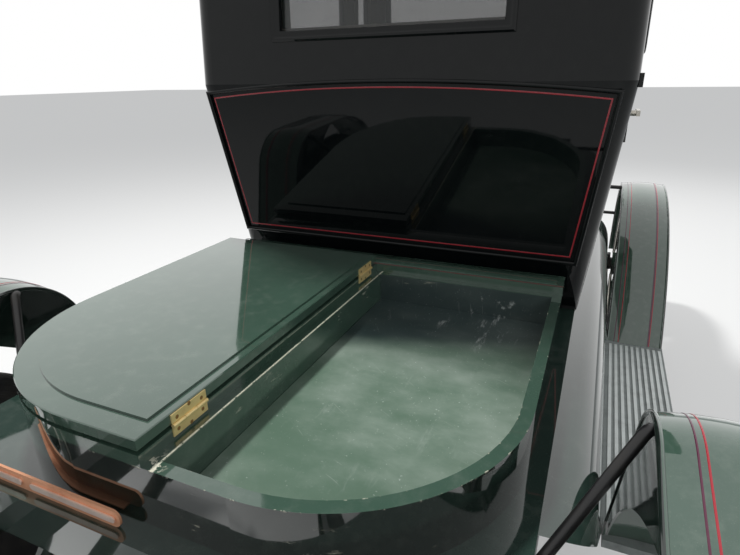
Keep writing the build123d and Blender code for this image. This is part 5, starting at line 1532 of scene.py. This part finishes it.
@dataclass
class Interior(SubAssembly):
    """Buttoned seat and the tiller; button holds a button's radius, height and foot."""

    columns: int = 8
    voxel: float = 0.008
    start_gap: float = 0.010
    edge_steps: int = 9
    swell: float = 0.016
    pressure: float = 4.0
    frames: int = 20
    quality: int = 4
    dent: float = 0.011
    dent_reach: float = 0.020
    pleat: float = 0.0045
    pleat_reach: float = 0.006
    grip_end_x: float = 0.150
    face_reach: float = 0.03
    face_weight: float = 0.5
    button: Point = (0.009, 0.0045, -0.002)

    def pad(self, cushion: Cushion) -> bpy.types.Object:
        """Closed starting form of a cushion: its rounded side view drawn in at both ends.

        Seen along Y, the half sizes of the outline shrink by 1 - sqrt(1 - e²) times the edge's radius, where e runs
        from 0 to 1 over the last part of the width, so that the ends are rounded too.

        Args:
            cushion: Its sizes.

        Returns:
            The new object.
        """
        corners = np.array([(x, 0.0, z) for x, z in cushion.outline])
        middle = corners.mean(0)
        loop = rounded_loop(corners, cushion.round, steps=7)
        reach = np.abs(loop - middle).max(0) + (0, 1, 0)
        t = np.linspace(0, 1, self.edge_steps)
        edge = 1 - np.sqrt(1 - t**2)
        shrink = np.concatenate([edge[::-1], [0.0], edge])
        flat = cushion.half - self.start_gap - cushion.round
        y = np.concatenate([-flat - cushion.round * t[::-1], [0.0], flat + cushion.round * t])
        scale = 1 - (self.start_gap + cushion.round * shrink[:, None, None]) / reach
        grid = middle + (loop - middle)[None] * scale
        grid[..., 1] = y[:, None]
        return self.piece(cushion.node + "_cloth", [capped(grid)], "root", "seat_cloth", self.palette.cloth)

    def baked(self, piece: bpy.types.Object) -> Array:
        """Points of a piece with its modifiers."""
        graph = bpy.context.evaluated_depsgraph_get()
        mesh = piece.evaluated_get(graph).to_mesh()
        points = np.empty(len(mesh.vertices) * 3, np.float32)
        mesh.vertices.foreach_get("co", points)
        return points.reshape(-1, 3).astype(float)

    def freeze(self, piece: bpy.types.Object) -> None:
        """Turns a piece's modifiers into its mesh."""
        graph = bpy.context.evaluated_depsgraph_get()
        mesh = bpy.data.meshes.new_from_object(piece.evaluated_get(graph))
        piece.modifiers.clear()
        piece.data = mesh

    def move(self, piece: bpy.types.Object, points: Array) -> None:
        """Puts a piece's points in new places."""
        piece.data.vertices.foreach_set("co", points.astype(np.float32).ravel())
        piece.data.update()

    def puff(self, piece: bpy.types.Object) -> None:
        """Remeshes a pad evenly and swells it with cloth simulation, no point moving further than swell."""
        remesh = piece.modifiers.new("even", "REMESH")
        remesh.mode = "VOXEL"
        remesh.voxel_size = self.voxel
        self.freeze(piece)
        start = self.baked(piece)
        cloth = piece.modifiers.new("cloth", "CLOTH")
        cloth.settings.quality = self.quality
        cloth.settings.use_pressure = True
        cloth.settings.uniform_pressure_force = self.pressure
        cloth.settings.effector_weights.gravity = 0
        cloth.collision_settings.use_collision = False
        cloth.point_cache.frame_start = 1
        cloth.point_cache.frame_end = self.frames
        for frame in range(1, self.frames + 1):
            bpy.context.scene.frame_set(frame)
        move = self.baked(piece) - start
        piece.modifiers.clear()
        length = np.linalg.norm(move, axis=1, keepdims=True)
        self.move(piece, start + move * np.minimum(1, self.swell / np.maximum(length, TINY)))
        bpy.context.scene.frame_set(1)

    def tuft(self, piece: bpy.types.Object, cushion: Cushion) -> None:
        """Subdivides a cushion once, then sews pleats and button dents into its face.

        A pleat's depth falls off as exp(-(distance / reach)²) from its line, a button's the same from its point.

        Args:
            piece: The swollen cushion.
            cushion: Its sizes.
        """
        smooth = piece.modifiers.new("smooth", "SUBSURF")
        smooth.levels = smooth.render_levels = 1
        self.freeze(piece)
        points = self.baked(piece)
        face = np.array(cushion.face)
        above = (points - points.mean(0)) @ face
        pitch = 2 * cushion.half / self.columns
        column = pitch / 2 - np.abs((points[:, 1] + cushion.half) % pitch - pitch / 2)
        along = points[:, cushion.row_axis]
        depth = self.pleat * np.exp(-((column / self.pleat_reach) ** 2))
        for row in cushion.rows:
            depth = depth + self.dent * np.exp(-((np.hypot(column, along - row) / self.dent_reach) ** 2))
        points = points - face * np.clip(above / self.face_reach, 0, 1)[:, None] * depth[:, None]
        piece.data.polygons.foreach_set("use_smooth", np.ones(len(piece.data.polygons), bool))
        self.move(piece, points)
        self.buttons(points, along, cushion)

    def buttons(self, points: Array, along: Array, cushion: Cushion) -> None:
        """Buttons on the points of the face that lie nearest to the crossings of the columns and rows.

        Args:
            points: Points of the tufted cushion.
            along: Their places across the rows, before tufting.
            cushion: Its sizes.
        """
        face = np.array(cushion.face)
        above = (points - points.mean(0)) @ face
        button, faces = turned(dome(*self.button), (0, 0, 0), Z, steps=16)
        button = button @ np.array(Vector((0, 0, 1)).rotation_difference(Vector(face)).to_matrix()).T
        shapes = []
        for row in cushion.rows:
            for y in np.linspace(-cushion.half, cushion.half, self.columns + 1)[1:-1]:
                away = np.hypot(points[:, 1] - y, along - row) - self.face_weight * above
                shapes.append((button + points[np.argmin(away)], faces))
        self.piece(cushion.node + "_buttons", shapes, "root", "seat_cloth", self.palette.cloth)

    def grip(self, bench: Bench) -> Wire:
        """The tiller's wooden grip, at its rear end."""
        return bench.axis("X") < self.grip_end_x

    def build(self) -> None:
        """Makes the cushions and dresses the inside of the cab."""
        palette = self.palette
        for cushion in SEAT:
            piece = self.pad(cushion)
            self.puff(piece)
            self.tuft(piece, cushion)
            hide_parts(cushion.node)
        self.dress(palette.wood, "seat_frame")
        self.dress(palette.gear, "tiller_column")
        self.dress(Layered("tiller", palette.nickel, ((self.grip, palette.wood),)), "tiller")


@dataclass
class Studio:
    """Pale floor, soft light and the photograph's camera."""

    focal_px: float = 525.0
    frame_px: float = 740.0
    sensor: float = 36.0
    place: Point = (-1.700, -0.5345, 1.340)
    right: Point = (0.3967045, -0.9178400, -0.0139705)
    down: Point = (-0.3329085, -0.1296716, -0.9340006)
    ahead: Point = (0.8554516, 0.3751732, -0.3569981)
    near_clip: float = 0.02
    floor_half: float = 60.0
    floor_colour: Colour = srgb(222, 222, 220)
    floor_glow: float = 0.35
    sky_colour: Colour = (0.93, 0.96, 1.0)
    sky_strength: float = 0.45

    def camera(self) -> None:
        """Camera matched to the photograph."""
        data = bpy.data.cameras.new("camera")
        data.sensor_width = self.sensor
        data.lens = self.sensor * self.focal_px / self.frame_px
        data.clip_start = self.near_clip
        camera = placed("camera", data)
        axes = Matrix((self.right, tuple(-v for v in self.down), tuple(-v for v in self.ahead))).transposed()
        camera.matrix_world = Matrix.Translation(self.place) @ axes.to_4x4()
        bpy.context.scene.camera = camera

    def floor(self) -> None:
        """Plain pale floor."""
        half = self.floor_half
        mesh = bpy.data.meshes.new("floor")
        mesh.from_pydata([(-half, -half, 0), (half, -half, 0), (half, half, 0), (-half, half, 0)], [], [(0, 1, 2, 3)])
        floor = placed("floor", mesh)
        material = bpy.data.materials.new("floor_pale")
        mesh.materials.append(material)
        bench = Bench(material)
        plain = bench.node("BsdfDiffuse", None, {"Color": self.floor_colour})["BSDF"]
        glow = bench.node("Emission", None, {"Color": (1, 1, 1), "Strength": 1})["Emission"]
        seen = bench.node("LightPath")["Is Camera Ray"] * self.floor_glow
        bench.node("OutputMaterial", None, {0: bench.node("MixShader", None, {0: seen, 1: plain, 2: glow})[0]})

    def lights(self) -> None:
        """Soft lamps, the key high on the left; the paint doesn't mirror their shapes.

        Each row is a lamp's name, place, target, width and power.
        """
        rows = (
            ("key", (0.55, 1.8, 5.8), (-0.8, -0.2, 0.77), 0.6, 320),
            ("fill", (-4.6, -3.6, 3.6), (-0.8, -0.2, 0.8), 3.0, 60),
            ("front", (4.8, -1.4, 4.2), (0.8, 0.0, 0.9), 3.2, 80),
        )
        for name, place, target, size, power in rows:
            data = bpy.data.lights.new(name, "AREA")
            data.size = size
            data.energy = power
            lamp = placed(name, data)
            lamp.location = place
            lamp.rotation_euler = (Vector(target) - Vector(place)).to_track_quat("-Z", "Y").to_euler()
            lamp.visible_glossy = False

    def world(self) -> None:
        """Pale sky: plain light on the car, white where it is seen directly, mirrored or through glass."""
        world = bpy.data.worlds.new("world")
        bpy.context.scene.world = world
        bench = Bench(world)
        rays = bench.node("LightPath")
        seen = rays["Is Camera Ray"].high(rays["Is Glossy Ray"]).high(rays["Is Transmission Ray"])
        lit = bench.node("Background", None, {"Color": self.sky_colour, "Strength": self.sky_strength})[0]
        shown = bench.node("Background", None, {"Color": (1, 1, 1), "Strength": 1})[0]
        choice = bench.node("MixShader", None, {0: seen, 1: lit, 2: shown})[0]
        bench.node("OutputWorld", None, {"Surface": choice})

    def build(self) -> None:
        """Sets the stage."""
        self.camera()
        self.floor()
        self.lights()
        self.world()
        bpy.context.scene.view_settings.view_transform = "Standard"
        LOG.info("studio set")


def main() -> None:
    """Builds the car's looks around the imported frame."""
    logging.basicConfig(level=logging.INFO, format="%(message)s")
    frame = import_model()
    palette = Palette()
    for part in (Interior, RearDeck, CabBody, Wings, RunningGear, Front):
        part(frame, palette).build()
        LOG.info("%s done", part.__name__)
    Studio().build()


if __name__ == "__main__":
    main()
